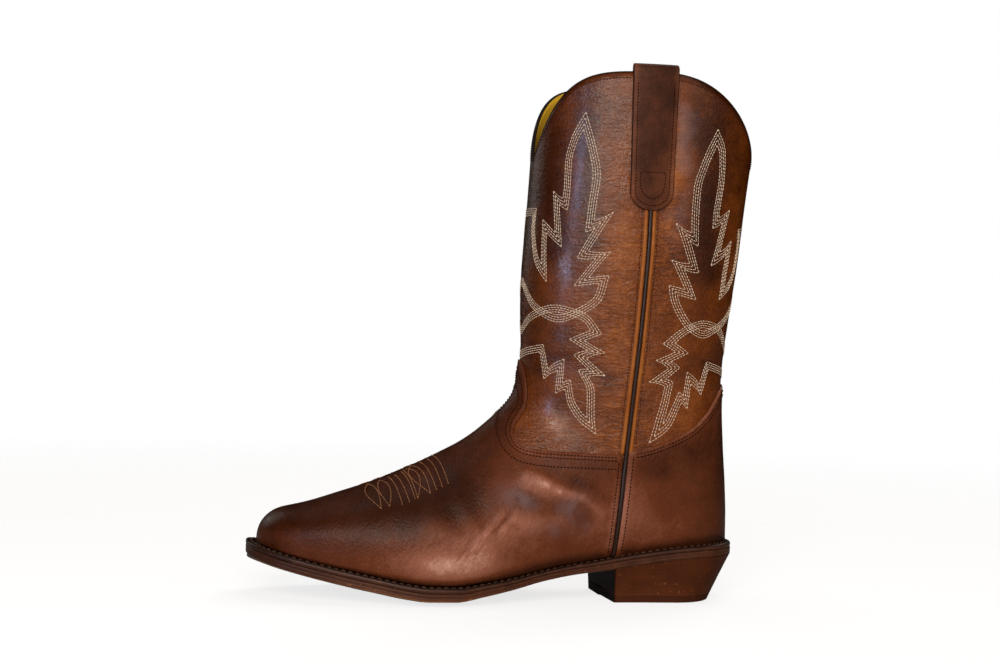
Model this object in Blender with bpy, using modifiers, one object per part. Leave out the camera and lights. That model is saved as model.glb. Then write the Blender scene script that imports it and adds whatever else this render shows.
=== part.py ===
"""Western boot for the left foot: a scalloped pull-on shaft on a welted leather sole and a stacked heel.

The frame is metres, +Z up, with the floor at z = 0, the toe towards -X and the outer side of the foot
towards -Y. Sizes and tables below are in millimetres, and become metres where a mesh is made.
"""

import math

import bmesh
import bpy
import numpy as np
from mathutils import Vector
from mathutils.bvhtree import BVHTree

MM = 0.001
ORIGIN_X = -1.37  # middle of the boot's whole length, where its origin stands
TINY = 1e-6

# Leather and clearances
WALL = 2.2  # shaft leather with its lining
OVERLAY = 1.2  # vamp and counter leather, laid over the wall
GAP = 0.3  # clearance between neighbouring pieces
MERGE = 0.01  # points closer than this are one point
SMOOTH_ANGLE = 35.0  # degrees; a sharper edge shades as an edge
BEVEL_ANGLE = 50.0

# Sole: each row is a station along the foot, and the caps round its outline off at both ends
SOLE_TOE_X = -156.2
SOLE_HEEL_X = 147.2
TOE_CAP = 30.0
TOE_ROUND = 2.5  # above 2 the toe is blunter than an ellipse
HEEL_CAP = 33.0
SOLE_COLUMNS = ("x", "keel", "crown", "outer", "inner", "outsole", "welt", "reach")
SOLE_TABLE = (
    (-156.2, 22.6, 2.0, 31.5, 32.5, 4.8, 3.0, 7.7),
    (-140.0, 18.1, 2.2, 35.0, 35.6, 4.8, 3.0, 7.3),
    (-122.0, 13.5, 2.4, 39.0, 39.4, 4.8, 3.0, 6.9),
    (-100.0, 8.6, 2.6, 44.2, 45.6, 4.8, 3.0, 6.6),
    (-80.0, 4.6, 2.8, 48.2, 50.4, 4.8, 3.0, 6.4),
    (-62.0, 1.3, 2.8, 51.2, 52.5, 4.8, 3.0, 6.3),
    (-50.0, 0.0, 2.8, 52.3, 51.8, 4.8, 3.0, 6.3),
    (-34.0, 0.0, 2.8, 52.3, 48.9, 4.6, 2.9, 6.2),
    (-18.0, 3.0, 2.6, 50.3, 44.8, 4.2, 2.6, 5.6),
    (0.0, 7.0, 2.2, 46.2, 39.4, 3.7, 2.3, 4.9),
    (18.0, 12.0, 1.6, 41.6, 34.4, 3.4, 2.1, 4.4),
    (38.0, 16.4, 0.8, 37.6, 31.0, 3.5, 2.1, 4.3),
    (61.0, 20.0, 0.0, 35.0, 30.4, 4.0, 2.4, 4.6),
    (82.0, 23.2, 0.0, 34.4, 31.8, 4.2, 2.6, 4.8),
    (108.0, 26.8, 0.0, 34.8, 33.8, 4.2, 2.6, 5.2),
    (130.0, 28.4, 0.0, 35.0, 34.6, 4.2, 2.6, 5.4),
    (147.2, 28.8, 0.0, 35.0, 34.8, 4.2, 2.6, 5.4),
)
SOLE_FLAT = 0.45  # share of the half width that lies flat across the tread
TREAD_SHARES = (-1.0, -0.8, -0.62, -SOLE_FLAT, SOLE_FLAT, 0.62, 0.8, 1.0)
FLAT_X = (-50.0, -34.0)  # the tread lies flat on the floor between these
SOLE_STATIONS = 17  # mesh stations between the rounded ends
END_TURNS = (8, 24, 42, 64, 90)  # and round each end, in degrees of its turn
WELT_STRIP = 15.0  # width of the welt, from its edge to under the insole
SOLE_EDGE_ROUND = 0.7
INSOLE = 2.4  # thickness of the insole board
INSOLE_CLEARANCE = 0.8  # from the insole's edge to the wall around it
INSOLE_STATIONS = 15

# Upper: each row is a section of the last, from the front line to the feather line or the back line
SECTION_COLUMNS = (
    "front_x",
    "front_z",
    "back_x",
    "back_z",
    "outer",
    "inner",
    "equator",
    "front_round",
    "back_round",
    "bow",
)
ON_FEATHER = None  # the section ends on the edge of the sole, where the upper is open
SECTION_TABLE = (
    (-148.5, 48.2, -148.5, ON_FEATHER, 25.0, 26.0, 0.62, 2.60, 2.00, 0.0),
    (-121.0, 53.9, -121.5, ON_FEATHER, 33.6, 34.2, 0.66, 2.50, 2.00, 0.0),
    (-100.0, 60.7, -100.0, ON_FEATHER, 39.2, 40.6, 0.70, 2.35, 2.00, 0.0),
    (-81.0, 67.4, -80.0, ON_FEATHER, 43.5, 45.7, 0.74, 2.20, 2.00, 0.0),
    (-65.7, 73.9, -60.0, ON_FEATHER, 47.0, 48.2, 0.76, 2.10, 2.00, 0.0),
    (-51.7, 80.3, -40.0, ON_FEATHER, 48.4, 47.4, 0.76, 2.00, 2.00, 0.0),
    (-38.8, 86.8, -18.0, ON_FEATHER, 47.4, 44.2, 0.72, 1.95, 2.00, 0.0),
    (-27.0, 93.2, 6.0, ON_FEATHER, 44.8, 41.4, 0.66, 1.90, 2.00, 0.0),
    (-17.7, 99.6, 32.0, ON_FEATHER, 42.0, 39.4, 0.60, 1.90, 2.05, 0.0),
    (-10.0, 106.1, 58.0, ON_FEATHER, 39.8, 38.0, 0.56, 1.90, 2.10, 0.0),
    (-3.2, 112.5, 84.0, ON_FEATHER, 38.2, 37.0, 0.53, 1.90, 2.20, 0.0),
    (2.5, 118.7, 110.0, ON_FEATHER, 37.2, 36.5, 0.51, 1.90, 2.35, 0.0),
    (6.4, 124.9, 131.0, ON_FEATHER, 36.8, 36.4, 0.50, 1.95, 2.45, 0.0),
    (8.3, 131.0, 141.8, ON_FEATHER, 36.9, 36.6, 0.49, 2.00, 2.50, 0.0),
    (9.0, 138.0, 141.5, 52.0, 37.6, 37.4, 0.49, 2.00, 2.50, 0.0),
    (9.5, 146.0, 140.4, 72.0, 38.6, 38.4, 0.49, 2.00, 2.45, 0.0),
    (9.7, 155.5, 138.5, 95.0, 39.8, 39.6, 0.49, 2.00, 2.40, 0.0),
    (9.3, 167.0, 137.2, 121.0, 41.2, 41.0, 0.49, 2.05, 2.30, 2.0),
    (8.8, 181.0, 138.4, 147.0, 42.6, 42.4, 0.49, 2.10, 2.20, 6.0),
    (8.9, 198.0, 141.8, 176.0, 44.0, 43.8, 0.49, 2.10, 2.20, 13.0),
    (9.9, 217.0, 146.0, 207.0, 45.3, 45.2, 0.49, 2.10, 2.20, 22.0),
    (11.4, 239.0, 149.4, 240.0, 46.6, 46.6, 0.50, 2.10, 2.20, 35.0),
    (13.0, 269.0, 153.0, 270.0, 48.0, 48.0, 0.50, 2.10, 2.20, 52.5),
)
OPEN_EDGE_SHARE = 0.97  # the open lower edge is never wider than this share of its section
TOE_NOSE = 17.0  # length over which the toe box rises from the feather
TOE_NOSE_ROUND = 2.6
TOE_SWING = 5.0  # how far the toe turns in towards the other foot
TOE_SWING_START_X = -50.0
FRONT_DIP = (1.45, 2.2)  # the top line's dip at the front: how round at its foot, and at its shoulder
BACK_DIP = (1.4, 1.0)
WAIST_ROW = 8  # a section wholly in front of the counter
HEEL_POINT_ROW = 13  # the first section that is closed at the back
TONGUE_ROW = 18  # a section wholly above the vamp and the counter
TOE_ROWS = (0.0, 0.02, 0.08, 0.18, 0.34, 0.55, 0.78)  # mesh rows close together round the toe
HEEL_ROWS = (12.5,)  # and round the heel
GRID_COLUMNS = 32

# Side seam and the edges of the overlays, as points (x, z) in the side view
SIDE_SEAM = (
    (64.2, 24.0),
    (65.5, 45.0),
    (67.5, 69.0),
    (70.2, 100.0),
    (72.3, 130.0),
    (74.6, 161.0),
    (76.3, 191.0),
    (77.6, 222.0),
    (78.3, 330.0),
)
VAMP_TOP_LINE = (
    (7.2, 153.0),
    (9.9, 145.0),
    (11.3, 137.0),
    (12.2, 126.0),
    (11.4, 119.0),
    (8.2, 112.8),
    (3.6, 105.6),
    (2.2, 101.0),
    (3.5, 96.2),
    (7.7, 93.2),
    (20.6, 91.5),
    (41.0, 91.0),
    (69.0, 90.6),
)
COUNTER_TOP_LINE = (
    (69.0, 92.2),
    (80.7, 94.5),
    (94.7, 99.4),
    (109.0, 106.5),
    (119.5, 115.2),
    (127.0, 124.0),
    (134.0, 132.0),
    (144.0, 138.0),
)
PIPING_RADIUS = 1.5
VAMP_SHARE = 0.965  # the vamp's lower edge stops just short of the feather
TOE_LIFT = 3.0  # length of the tip where it is trimmed level
OVERLAY_REACH = 200.0  # how far the overlay cutters run past the boot
VAMP_LINE_STEPS = 28
COUNTER_LINE_STEPS = 14
SEAM_STEPS = 8
PIPING_STEPS = 22
PIPING_SPACING = 1.7  # above 1 the piping's points lie closer together near the sole

# Collar, pull straps
BINDING_RADIUS = 1.1
BINDING_STEP = 0.1  # how far down the shaft, in rows, the wall's slope is taken at the top line
STRAP_WIDTH = 28.2
STRAP_TAPER = 1.0  # each edge draws in by this towards the lower end
STRAP_THICKNESS = 2.2
STRAP_GAP = 0.45  # clearance of its legs from the shaft's wall
STRAP_FOOT_Z = 239.0  # lower end of the outer leg
STRAP_INNER_FOOT_Z = 248.0
STRAP_TOP_Z = 316.0  # where the legs leave the shaft for the loop
STRAP_LOOP_Z = 323.9  # middle of the turn over the top line
STRAP_ROUND = 11.0  # length of the rounded lower end
STRAP_TIP = 0.6  # the rounded end is cut this far from its tip
STRAP_OUTER_STEPS = (0.0, 1.2, 4.0, STRAP_ROUND, 30.0, 50.0)  # heights above the lower end
STRAP_LOOP_STEPS = 6
STRAP_INNER_STEPS = 5
STRAP_COLUMNS = 4

# Heel: the block narrows towards the floor
HEEL_BREAST_X = 65.0
HEEL_FLOOR_BREAST_X = 66.0
HEEL_FLOOR_BACK_X = 133.0
HEEL_BREAST_SLANT = 2.0  # the inner end of the breast lies further forward
HEEL_FLOOR_SHARE = 0.91  # floor width as a share of the seat width
HEEL_SIDE_HOLLOW = 0.8  # how far the sides dish inwards at mid height
TOP_LIFT = 5.0
HEEL_STEPS = (0.0, 0.103, 0.206, 0.309, 0.411, 0.514, 0.617, 0.72, 0.84, 0.93, 0.98, 0.998)  # breast to back
HEEL_LEVELS = (0.0, 0.5, 1.0)

LEATHERS = {
    "upper": ((0.30, 0.12, 0.04), 0.42),
    "vamp": ((0.17, 0.06, 0.03), 0.45),
    "counter": ((0.17, 0.06, 0.03), 0.45),
    "piping": ((0.05, 0.025, 0.02), 0.40),
    "binding": ((0.02, 0.015, 0.012), 0.50),
    "strap": ((0.10, 0.035, 0.02), 0.55),
    "insole": ((0.42, 0.27, 0.12), 0.70),
    "welt": ((0.06, 0.03, 0.02), 0.50),
    "outsole": ((0.20, 0.09, 0.04), 0.50),
    "heel": ((0.13, 0.05, 0.025), 0.45),
    "lift": ((0.06, 0.03, 0.02), 0.60),
}


def columns_of(table, names):
    """A table's columns by name, as arrays."""
    return {name: np.array(values, float) for name, values in zip(names, zip(*table))}


def monotone(knots, values, at):
    """A smooth curve through the knots that never swings past their values."""
    step = np.diff(knots)
    slope = np.diff(values) / step
    tangent = np.concatenate([slope[:1], (slope[1:] + slope[:-1]) / 2, slope[-1:]])
    with np.errstate(divide="ignore", invalid="ignore"):
        weighted = 3 * (step[1:] + step[:-1]) / (
            (2 * step[1:] + step[:-1]) / slope[:-1] + (step[1:] + 2 * step[:-1]) / slope[1:]
        )
    tangent[1:-1] = np.where(slope[1:] * slope[:-1] > 0, weighted, 0.0)
    at = np.clip(at, knots[0], knots[-1])
    i = np.clip(np.searchsorted(knots, at, side="right") - 1, 0, len(step) - 1)
    u = (at - knots[i]) / step[i]
    return (
        values[i] * (1 + 2 * u) * (1 - u) ** 2
        + values[i + 1] * u**2 * (3 - 2 * u)
        + step[i] * (tangent[i] * u * (1 - u) ** 2 - tangent[i + 1] * u**2 * (1 - u))
    )


def curve_through(points, count):
    """A smooth line through a few points, parametrised by its chord length."""
    points = np.array(points, float)
    run = np.concatenate([[0.0], np.cumsum(np.linalg.norm(np.diff(points, axis=0), axis=1))])
    at = np.linspace(0.0, run[-1], count)
    return np.stack([monotone(run, points[:, k], at) for k in range(points.shape[1])], axis=1)


SOLE = columns_of(SOLE_TABLE, SOLE_COLUMNS)


def sole(x, name):
    """A column of the sole's table, read at x."""
    return monotone(SOLE["x"], SOLE[name], np.asarray(x, float))


def cap(distance, length, sharpness=2.0):
    """A rounded end: 0 at its tip, 1 once the distance from the tip reaches the length."""
    u = np.clip(distance / length, 0.0, 1.0)
    return (1 - (1 - u) ** sharpness) ** (1 / sharpness)


def half_width(x, side, inset=0.0):
    """Half width of the sole's outline at x, on its outer or inner side, drawn in by an inset."""
    x = np.asarray(x, float)
    round_ends = cap(x - SOLE_TOE_X - inset, TOE_CAP, TOE_ROUND) * cap(SOLE_HEEL_X - inset - x, HEEL_CAP)
    return np.maximum(sole(x, side) - inset, 0.0) * round_ends


def tread(x, share):
    """Height of the outsole's underside, where share runs from 0 on the keel to 1 at the edge."""
    rise = np.clip((np.abs(share) - SOLE_FLAT) / (1 - SOLE_FLAT), 0.0, 1.0) ** 2
    return sole(x, "keel") + sole(x, "crown") * rise


def outsole_top(x):
    """Height of the outsole's upper face."""
    return tread(x, 1.0) + sole(x, "outsole")


def welt_top(x):
    """Height of the welt's upper face."""
    return outsole_top(x) + GAP + sole(x, "welt")


def feather_z(x):
    """Height of the line where the upper meets the welt."""
    return welt_top(x) + GAP


def feather_half_width(x, side):
    """Half width of the upper's open lower edge: the sole's outline, less the welt that shows beside it."""
    x = np.asarray(x, float)
    toe = SOLE_TOE_X + SOLE["reach"][0]
    heel = SOLE_HEEL_X - SOLE["reach"][-1]
    return (sole(x, side) - sole(x, "reach")) * cap(x - toe, TOE_CAP, TOE_ROUND) * cap(heel - x, HEEL_CAP)


def section_table():
    """The last's sections, with the height of each open one taken from the feather line."""
    rows = [
        (fx, fz, bx, float(feather_z(bx)) if bz is ON_FEATHER else bz, *rest)
        for fx, fz, bx, bz, *rest in SECTION_TABLE
    ]
    return columns_of(rows, SECTION_COLUMNS)


SECTIONS = section_table()
LAST_ROW = len(SECTION_TABLE) - 1


def sections_at(rows):
    """Every column of the section table, read at fractional rows."""
    rows = np.asarray(rows, float)
    knots = np.arange(LAST_ROW + 1.0)
    at = {name: monotone(knots, values, rows) for name, values in SECTIONS.items()}
    from_toe = at["back_x"] - SECTIONS["back_x"][0]
    at["back_z"] = np.where(rows <= HEEL_POINT_ROW, feather_z(at["back_x"]), at["back_z"])
    at["front_z"] = at["back_z"] + (at["front_z"] - at["back_z"]) * cap(from_toe, TOE_NOSE, TOE_NOSE_ROUND)
    for side in ("outer", "inner"):
        open_edge = np.where(rows < HEEL_POINT_ROW, feather_half_width(at["back_x"], side), 0.0)
        at[side] = at[side] * cap(from_toe, TOE_CAP, TOE_ROUND)
        at[side + "_edge"] = np.minimum(open_edge, at[side] * OPEN_EDGE_SHARE)
    return at


def last_surface(rows, shares):
    """Points of the upper's outside, one line of them for each row.

    A share is 0 on the front line, and -1 or 1 where the section ends on the outer or the inner side.
    Each section is two half superellipses: from the front line to its widest point, and from there to the
    feather or the back.
    """
    at = {name: values[:, None] for name, values in sections_at(rows).items()}
    shares = np.asarray(shares, float)[None, :]
    outer = shares < 0
    width = np.where(outer, at["outer"], at["inner"])
    edge = np.where(outer, at["outer_edge"], at["inner_edge"])
    power_end = 2 / at["back_round"]
    edge_share = edge / np.maximum(width, TINY)
    end = math.pi - np.arcsin(edge_share ** (1 / power_end))
    angle = np.abs(shares) * end
    in_front = angle < math.pi / 2
    power = np.where(in_front, 2 / at["front_round"], power_end)
    along = np.abs(np.cos(angle)) ** power
    run_x = at["back_x"] - at["front_x"]
    run_z = at["back_z"] - at["front_z"]
    back_reach = (1 - at["equator"]) / np.abs(np.cos(end)) ** power_end
    place = at["equator"] + np.where(in_front, -at["equator"], back_reach) * along
    x = at["front_x"] + place * run_x
    y = np.where(outer, -1.0, 1.0) * width * np.abs(np.sin(angle)) ** power
    foot = np.where(in_front, FRONT_DIP[0], BACK_DIP[0])
    shoulder = np.where(in_front, FRONT_DIP[1], BACK_DIP[1])
    rise = 1 - (1 - np.abs(np.sin(angle)) ** foot) ** shoulder
    z = at["front_z"] + place * run_z + at["bow"] * rise
    return np.stack([x, y, z], axis=-1)


def grid_rows(first, last):
    """Rows of the mesh between two sections: one for each section, and more round the toe and the heel."""
    every = sorted({*TOE_ROWS, *HEEL_ROWS, *range(1, LAST_ROW + 1)})
    return np.array([row for row in every if first <= row <= last])


def side_seam_x(z):
    """The side seam's place along the boot at a height."""
    seam = np.array(SIDE_SEAM)
    return monotone(seam[:, 1], seam[:, 0], np.asarray(z, float))


def leather(name):
    """A material of the boot, with its colour and roughness."""
    material = bpy.data.materials.get(name)
    if material is None:
        colour, roughness = LEATHERS[name]
        material = bpy.data.materials.new(name)
        material.use_nodes = True
        shader = material.node_tree.nodes["Principled BSDF"]
        shader.inputs["Base Color"].default_value = (*colour, 1.0)
        shader.inputs["Roughness"].default_value = roughness
        shader.inputs["Metallic"].default_value = 0.0
    return material


def piece(name, data, finish, collection):
    """A named object of the boot, under its origin."""
    made = bpy.data.objects.new(name, data)
    data.materials.append(leather(finish))
    collection.objects.link(made)
    made.parent = bpy.data.objects["boot_origin"]
    return made


def mesh_of(name, points, faces):
    """A smooth-shaded mesh from points in millimetres, turned in at the toe, with equal points merged."""
    points = np.array(points, float).reshape(-1, 3)
    points[:, 1] += toe_swing(points[:, 0])
    mesh = bpy.data.meshes.new(name)
    mesh.from_pydata((points * MM).tolist(), [], faces)
    shape = bmesh.new()
    shape.from_mesh(mesh)
    bmesh.ops.remove_doubles(shape, verts=shape.verts, dist=MERGE * MM)
    bmesh.ops.dissolve_degenerate(shape, edges=shape.edges, dist=MERGE * MM / 10)
    bmesh.ops.recalc_face_normals(shape, faces=shape.faces)
    shape.to_mesh(mesh)
    shape.free()
    mesh.shade_smooth()
    mesh.set_sharp_from_angle(angle=math.radians(SMOOTH_ANGLE))
    return mesh


def toe_swing(x):
    """How far the foot's middle line turns in at x."""
    return TOE_SWING * np.clip((TOE_SWING_START_X - x) / (TOE_SWING_START_X - SOLE_TOE_X), 0.0, 1.0) ** 2


def sheet_faces(rows, columns):
    """Quads of a grid of points, row by row."""
    corner = [(i * columns + j) for i in range(rows - 1) for j in range(columns - 1)]
    return [(k, k + 1, k + columns + 1, k + columns) for k in corner]


def upper_sheet(name, first, last, share_limit=1.0):
    """The upper's outside between two sections, as a sheet of triangles, so layers over it stay parallel."""
    rows = grid_rows(first, last)
    shares = np.clip(np.linspace(-1, 1, GRID_COLUMNS + 1), -share_limit, share_limit)
    points = last_surface(rows, shares)
    faces = []
    for a, b, c, d in sheet_faces(len(rows), GRID_COLUMNS + 1):
        on_outer = a % (GRID_COLUMNS + 1) < GRID_COLUMNS // 2
        faces += [(a, b, c), (a, c, d)] if on_outer else [(a, b, d), (b, c, d)]
    return mesh_of(name, points, faces)


def loft_mesh(name, rings, ring_of_rings=False):
    """A closed solid through rings of points, capped at both ends unless the rings close on themselves."""
    rings = np.asarray(rings)
    count, around = rings.shape[:2]
    faces = []
    for i in range(count if ring_of_rings else count - 1):
        here, there = i * around, (i + 1) % count * around
        faces += [
            (here + j, here + (j + 1) % around, there + (j + 1) % around, there + j) for j in range(around)
        ]
    if not ring_of_rings:
        faces += [tuple(range(around)), tuple(range((count - 1) * around, count * around))]
    return mesh_of(name, rings, faces)


def stations(first, last, first_cap, last_cap, count):
    """Places along the foot, closer together where the outline rounds off at its ends."""
    turn = np.radians(np.array(END_TURNS))
    nose = first + first_cap * (1 - np.cos(turn))
    tail = last - last_cap * (1 - np.cos(turn[::-1]))
    between = np.sort(np.concatenate([np.linspace(nose[-1], tail[0], count + 2)[1:-1], FLAT_X]))
    return np.concatenate([nose, between, tail])


def make_upper(collection):
    """The shaft and the wall under the vamp and counter: one shell, open at the collar and underneath."""
    upper = piece("upper", upper_sheet("upper", 0, LAST_ROW), "upper", collection)
    wall = upper.modifiers.new("wall", "SOLIDIFY")
    wall.thickness = WALL * MM
    wall.offset = -1.0
    return upper


def plate_rings(x, inset, bottom_z, top_z, shares):
    """Rings across the foot for a plate with the sole's outline: its underside, then back over its top."""
    rings = []
    for at in x:
        outer, inner = half_width(at, "outer", inset), half_width(at, "inner", inset)
        across = np.where(shares < 0, outer, inner) * shares
        low = np.stack([np.full_like(across, at), across, bottom_z(at, shares)], axis=1)
        high = np.stack([np.full(2, at), [inner, -outer], np.full(2, top_z(at))], axis=1)
        rings.append(np.concatenate([low, high]))
    return np.array(rings)


def make_outsole(collection):
    """Leather outsole: toe spring, a flat tread under the ball, the arch, and the heel seat."""
    x = stations(SOLE_TOE_X, SOLE_HEEL_X, TOE_CAP, HEEL_CAP, SOLE_STATIONS)
    rings = plate_rings(x, 0.0, tread, outsole_top, np.array(TREAD_SHARES))
    outsole = piece("outsole", loft_mesh("outsole", rings), "outsole", collection)
    edge = outsole.modifiers.new("edge", "BEVEL")
    edge.width = SOLE_EDGE_ROUND * MM
    edge.limit_method = "ANGLE"
    edge.angle_limit = math.radians(BEVEL_ANGLE)
    return outsole


def outline(inset, count):
    """The sole's outline, drawn in by an inset, once round from the toe along the outer side."""
    x = stations(SOLE_TOE_X + inset, SOLE_HEEL_X - inset, TOE_CAP - inset / 2, HEEL_CAP - inset / 2, count)
    outer = np.stack([x, -half_width(x, "outer", inset)], axis=1)
    inner = np.stack([x, half_width(x, "inner", inset)], axis=1)
    return np.concatenate([outer, inner[::-1]])


def make_welt(collection):
    """The welt: a strip of leather right round the sole, from its edge to under the insole."""
    edge, lip = outline(0.0, SOLE_STATIONS), outline(WELT_STRIP, SOLE_STATIONS)
    rings = np.stack(
        [
            np.column_stack([edge, outsole_top(edge[:, 0]) + GAP]),
            np.column_stack([edge, welt_top(edge[:, 0])]),
            np.column_stack([lip, welt_top(lip[:, 0])]),
            np.column_stack([lip, outsole_top(lip[:, 0]) + GAP]),
        ],
        axis=1,
    )
    welt = piece("welt", loft_mesh("welt", rings, ring_of_rings=True), "welt", collection)
    edge_round = welt.modifiers.new("edge", "BEVEL")
    edge_round.width = SOLE_EDGE_ROUND * MM
    edge_round.limit_method = "ANGLE"
    edge_round.angle_limit = math.radians(BEVEL_ANGLE)
    return welt


def insole_floor(x, shares):
    """Height of the insole's underside, level across the foot."""
    return np.full_like(shares, feather_z(x))


def insole_top(x):
    """Height of the insole's upper face."""
    return feather_z(x) + INSOLE


def make_insole(collection):
    """Insole board, lying on the welt inside the wall."""
    inset = float(max(SOLE["reach"])) + WALL + INSOLE_CLEARANCE
    x = stations(SOLE_TOE_X + inset, SOLE_HEEL_X - inset, TOE_CAP, HEEL_CAP, INSOLE_STATIONS)
    rings = plate_rings(x, inset, insole_floor, insole_top, np.array([-1.0, 1.0]))
    return piece("insole", loft_mesh("insole", rings), "insole", collection)


def heel_rings(low_z, high_z):
    """Rings of the heel block from its breast to its back, between two heights.

    Each height is a function of the seat's. The block's seat has the sole's outline, and its floor is drawn
    in all round.
    """
    rings = []
    for back in HEEL_STEPS:
        at = HEEL_BREAST_X + (SOLE_HEEL_X - HEEL_BREAST_X) * back
        sides = []
        for side, sign in (("outer", -1), ("inner", 1)):
            slant = HEEL_BREAST_SLANT * (1 - back) if side == "inner" else 0.0
            seat_x = at - slant
            floor_x = HEEL_FLOOR_BREAST_X + (HEEL_FLOOR_BACK_X - HEEL_FLOOR_BREAST_X) * back - slant
            width, seat_z = float(half_width(at, side)), float(tread(seat_x, 1.0)) - GAP
            for share in HEEL_LEVELS:
                z = low_z(seat_z) + (high_z(seat_z) - low_z(seat_z)) * share
                rise = z / seat_z
                drawn = HEEL_FLOOR_SHARE + (1 - HEEL_FLOOR_SHARE) * rise
                hollow = HEEL_SIDE_HOLLOW * math.sin(math.pi * rise) * width / float(sole(at, side))
                sides.append((floor_x + (seat_x - floor_x) * rise, sign * (width * drawn - hollow), z))
        outer, inner = sides[: len(HEEL_LEVELS)], sides[len(HEEL_LEVELS) :]
        rings.append(outer + inner[::-1])
    return rings


def make_heel(collection):
    """Stacked leather heel under the outsole, and the rubber top lift under it."""
    stack = heel_rings(lambda seat: TOP_LIFT + GAP, lambda seat: seat)
    piece("heel_stack", loft_mesh("heel_stack", stack), "heel", collection)
    lift = heel_rings(lambda seat: 0.0, lambda seat: TOP_LIFT)
    piece("heel_top_lift", loft_mesh("heel_top_lift", lift), "lift", collection)


def make_prism(name, outline_xz, collection):
    """A cutter: an outline in the side view, run right through the boot from side to side."""
    count = len(outline_xz)
    near = np.column_stack([outline_xz[:, 0], np.full(count, -OVERLAY_REACH), outline_xz[:, 1]])
    far = near * (1, -1, 1)
    cutter = bpy.data.objects.new(name, loft_mesh(name, [near, far]))
    collection.objects.link(cutter)
    cutter.parent = bpy.data.objects["boot_origin"]
    cutter.hide_render = True
    cutter.display_type = "WIRE"
    return cutter


def make_overlay(name, sheet, outline_xz, collection, cutters):
    """Leather laid over the wall, cut to an outline in the side view from a shell just outside the upper."""
    overlay = piece(name, sheet, name, collection)
    skin = overlay.modifiers.new("skin", "SOLIDIFY")
    skin.thickness = OVERLAY * MM
    skin.offset = 1 + 2 * GAP / OVERLAY
    cut = overlay.modifiers.new("outline", "BOOLEAN")
    cut.operation = "INTERSECT"
    cut.object = make_prism(name + "_outline", outline_xz, cutters)
    return overlay


def seam_edge(top_z, low_z, offset):
    """The edge of an overlay beside the side seam, from its top down to the welt."""
    z = np.linspace(top_z, low_z, SEAM_STEPS)
    return np.column_stack([side_seam_x(z) + offset, z])


def welt_line(from_x, to_x):
    """The welt's top edge in the side view, just clear of it."""
    x = np.linspace(from_x, to_x, SEAM_STEPS)
    return np.column_stack([x, feather_z(x)])


def make_vamp(collection, cutters):
    """The vamp: the foot from the toe to the side seams, with a tongue up the front of the shaft."""
    top = curve_through(VAMP_TOP_LINE, VAMP_LINE_STEPS)
    clear = PIPING_RADIUS + GAP
    corner_x = float(side_seam_x(VAMP_TOP_LINE[-1][1])) - clear
    top = top[top[:, 0] < corner_x]
    seam = seam_edge(VAMP_TOP_LINE[-1][1], float(feather_z(HEEL_BREAST_X)), -clear)
    tip_x = SOLE_TOE_X + float(SOLE["reach"][0])
    tip_z = float(feather_z(tip_x)) + GAP
    under = [(seam[-1, 0], 0.0), (tip_x, 0.0), (tip_x + TOE_LIFT, tip_z)]
    reach = [(-OVERLAY_REACH, tip_z), (-OVERLAY_REACH, VAMP_TOP_LINE[0][1])]
    sheet = upper_sheet("vamp", 0, TONGUE_ROW, VAMP_SHARE)
    make_overlay("vamp", sheet, np.concatenate([top, seam, under, reach]), collection, cutters)


def make_counter(collection, cutters):
    """The counter: round the heel from seam to seam, rising to a point at the back."""
    top = curve_through(COUNTER_TOP_LINE, COUNTER_LINE_STEPS)
    clear = PIPING_RADIUS + GAP
    top = top[top[:, 0] > side_seam_x(COUNTER_TOP_LINE[0][1]) + clear]
    seam = seam_edge(COUNTER_TOP_LINE[0][1], float(feather_z(HEEL_BREAST_X)), clear)
    floor = welt_line(seam[-1, 0], SOLE_HEEL_X)
    reach = [(OVERLAY_REACH, floor[-1, 1]), (OVERLAY_REACH, COUNTER_TOP_LINE[-1][1])]
    sheet = upper_sheet("counter", WAIST_ROW, TONGUE_ROW)
    make_overlay("counter", sheet, np.concatenate([top[::-1], seam[:-1], floor, reach]), collection, cutters)


class ShaftSide:
    """One side of the upper's outside, found by looking at it from straight beside the boot."""

    def __init__(self, upper, sign):
        self.sign = sign
        self.surface = BVHTree.FromPolygons(
            [v.co.copy() for v in upper.data.vertices], [tuple(p.vertices) for p in upper.data.polygons]
        )

    def at(self, x, z):
        """The point of the surface at x and z, in millimetres, and its outward normal."""
        start = Vector((x * MM, self.sign * OVERLAY_REACH * MM, z * MM))
        point, normal, _, _ = self.surface.ray_cast(start, Vector((0, -self.sign, 0)))
        normal = normal if normal.y * self.sign > 0 else -normal
        return np.array(point) / MM, np.array(normal)


def tube(name, points, radius, finish, collection, closed=False):
    """A round bead along a line of points, in millimetres."""
    line = bpy.data.curves.new(name, "CURVE")
    line.dimensions = "3D"
    line.bevel_depth = radius * MM
    line.bevel_resolution = 1
    line.use_fill_caps = not closed
    spline = line.splines.new("POLY")
    spline.points.add(len(points) - 1)
    spline.use_cyclic_u = closed
    for target, point in zip(spline.points, points):
        target.co = (*(np.asarray(point) * MM), 1.0)
    return piece(name, line, finish, collection)


def make_side_piping(name, side, collection):
    """The welted bead in the side seam, from under the pull strap down to the sole."""
    low = float(feather_z(HEEL_BREAST_X)) + PIPING_RADIUS + GAP
    high = STRAP_FOOT_Z - GAP - PIPING_RADIUS
    points = []
    for z in low + (high - low) * np.linspace(0, 1, PIPING_STEPS) ** PIPING_SPACING:
        point, normal = side.at(float(side_seam_x(z)), z)
        points.append(point + normal * (GAP + PIPING_RADIUS))
    tube(name, points, PIPING_RADIUS, "piping", collection)


def unit(vectors):
    """Vectors scaled to length 1."""
    return vectors / np.linalg.norm(vectors, axis=-1, keepdims=True)


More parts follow.
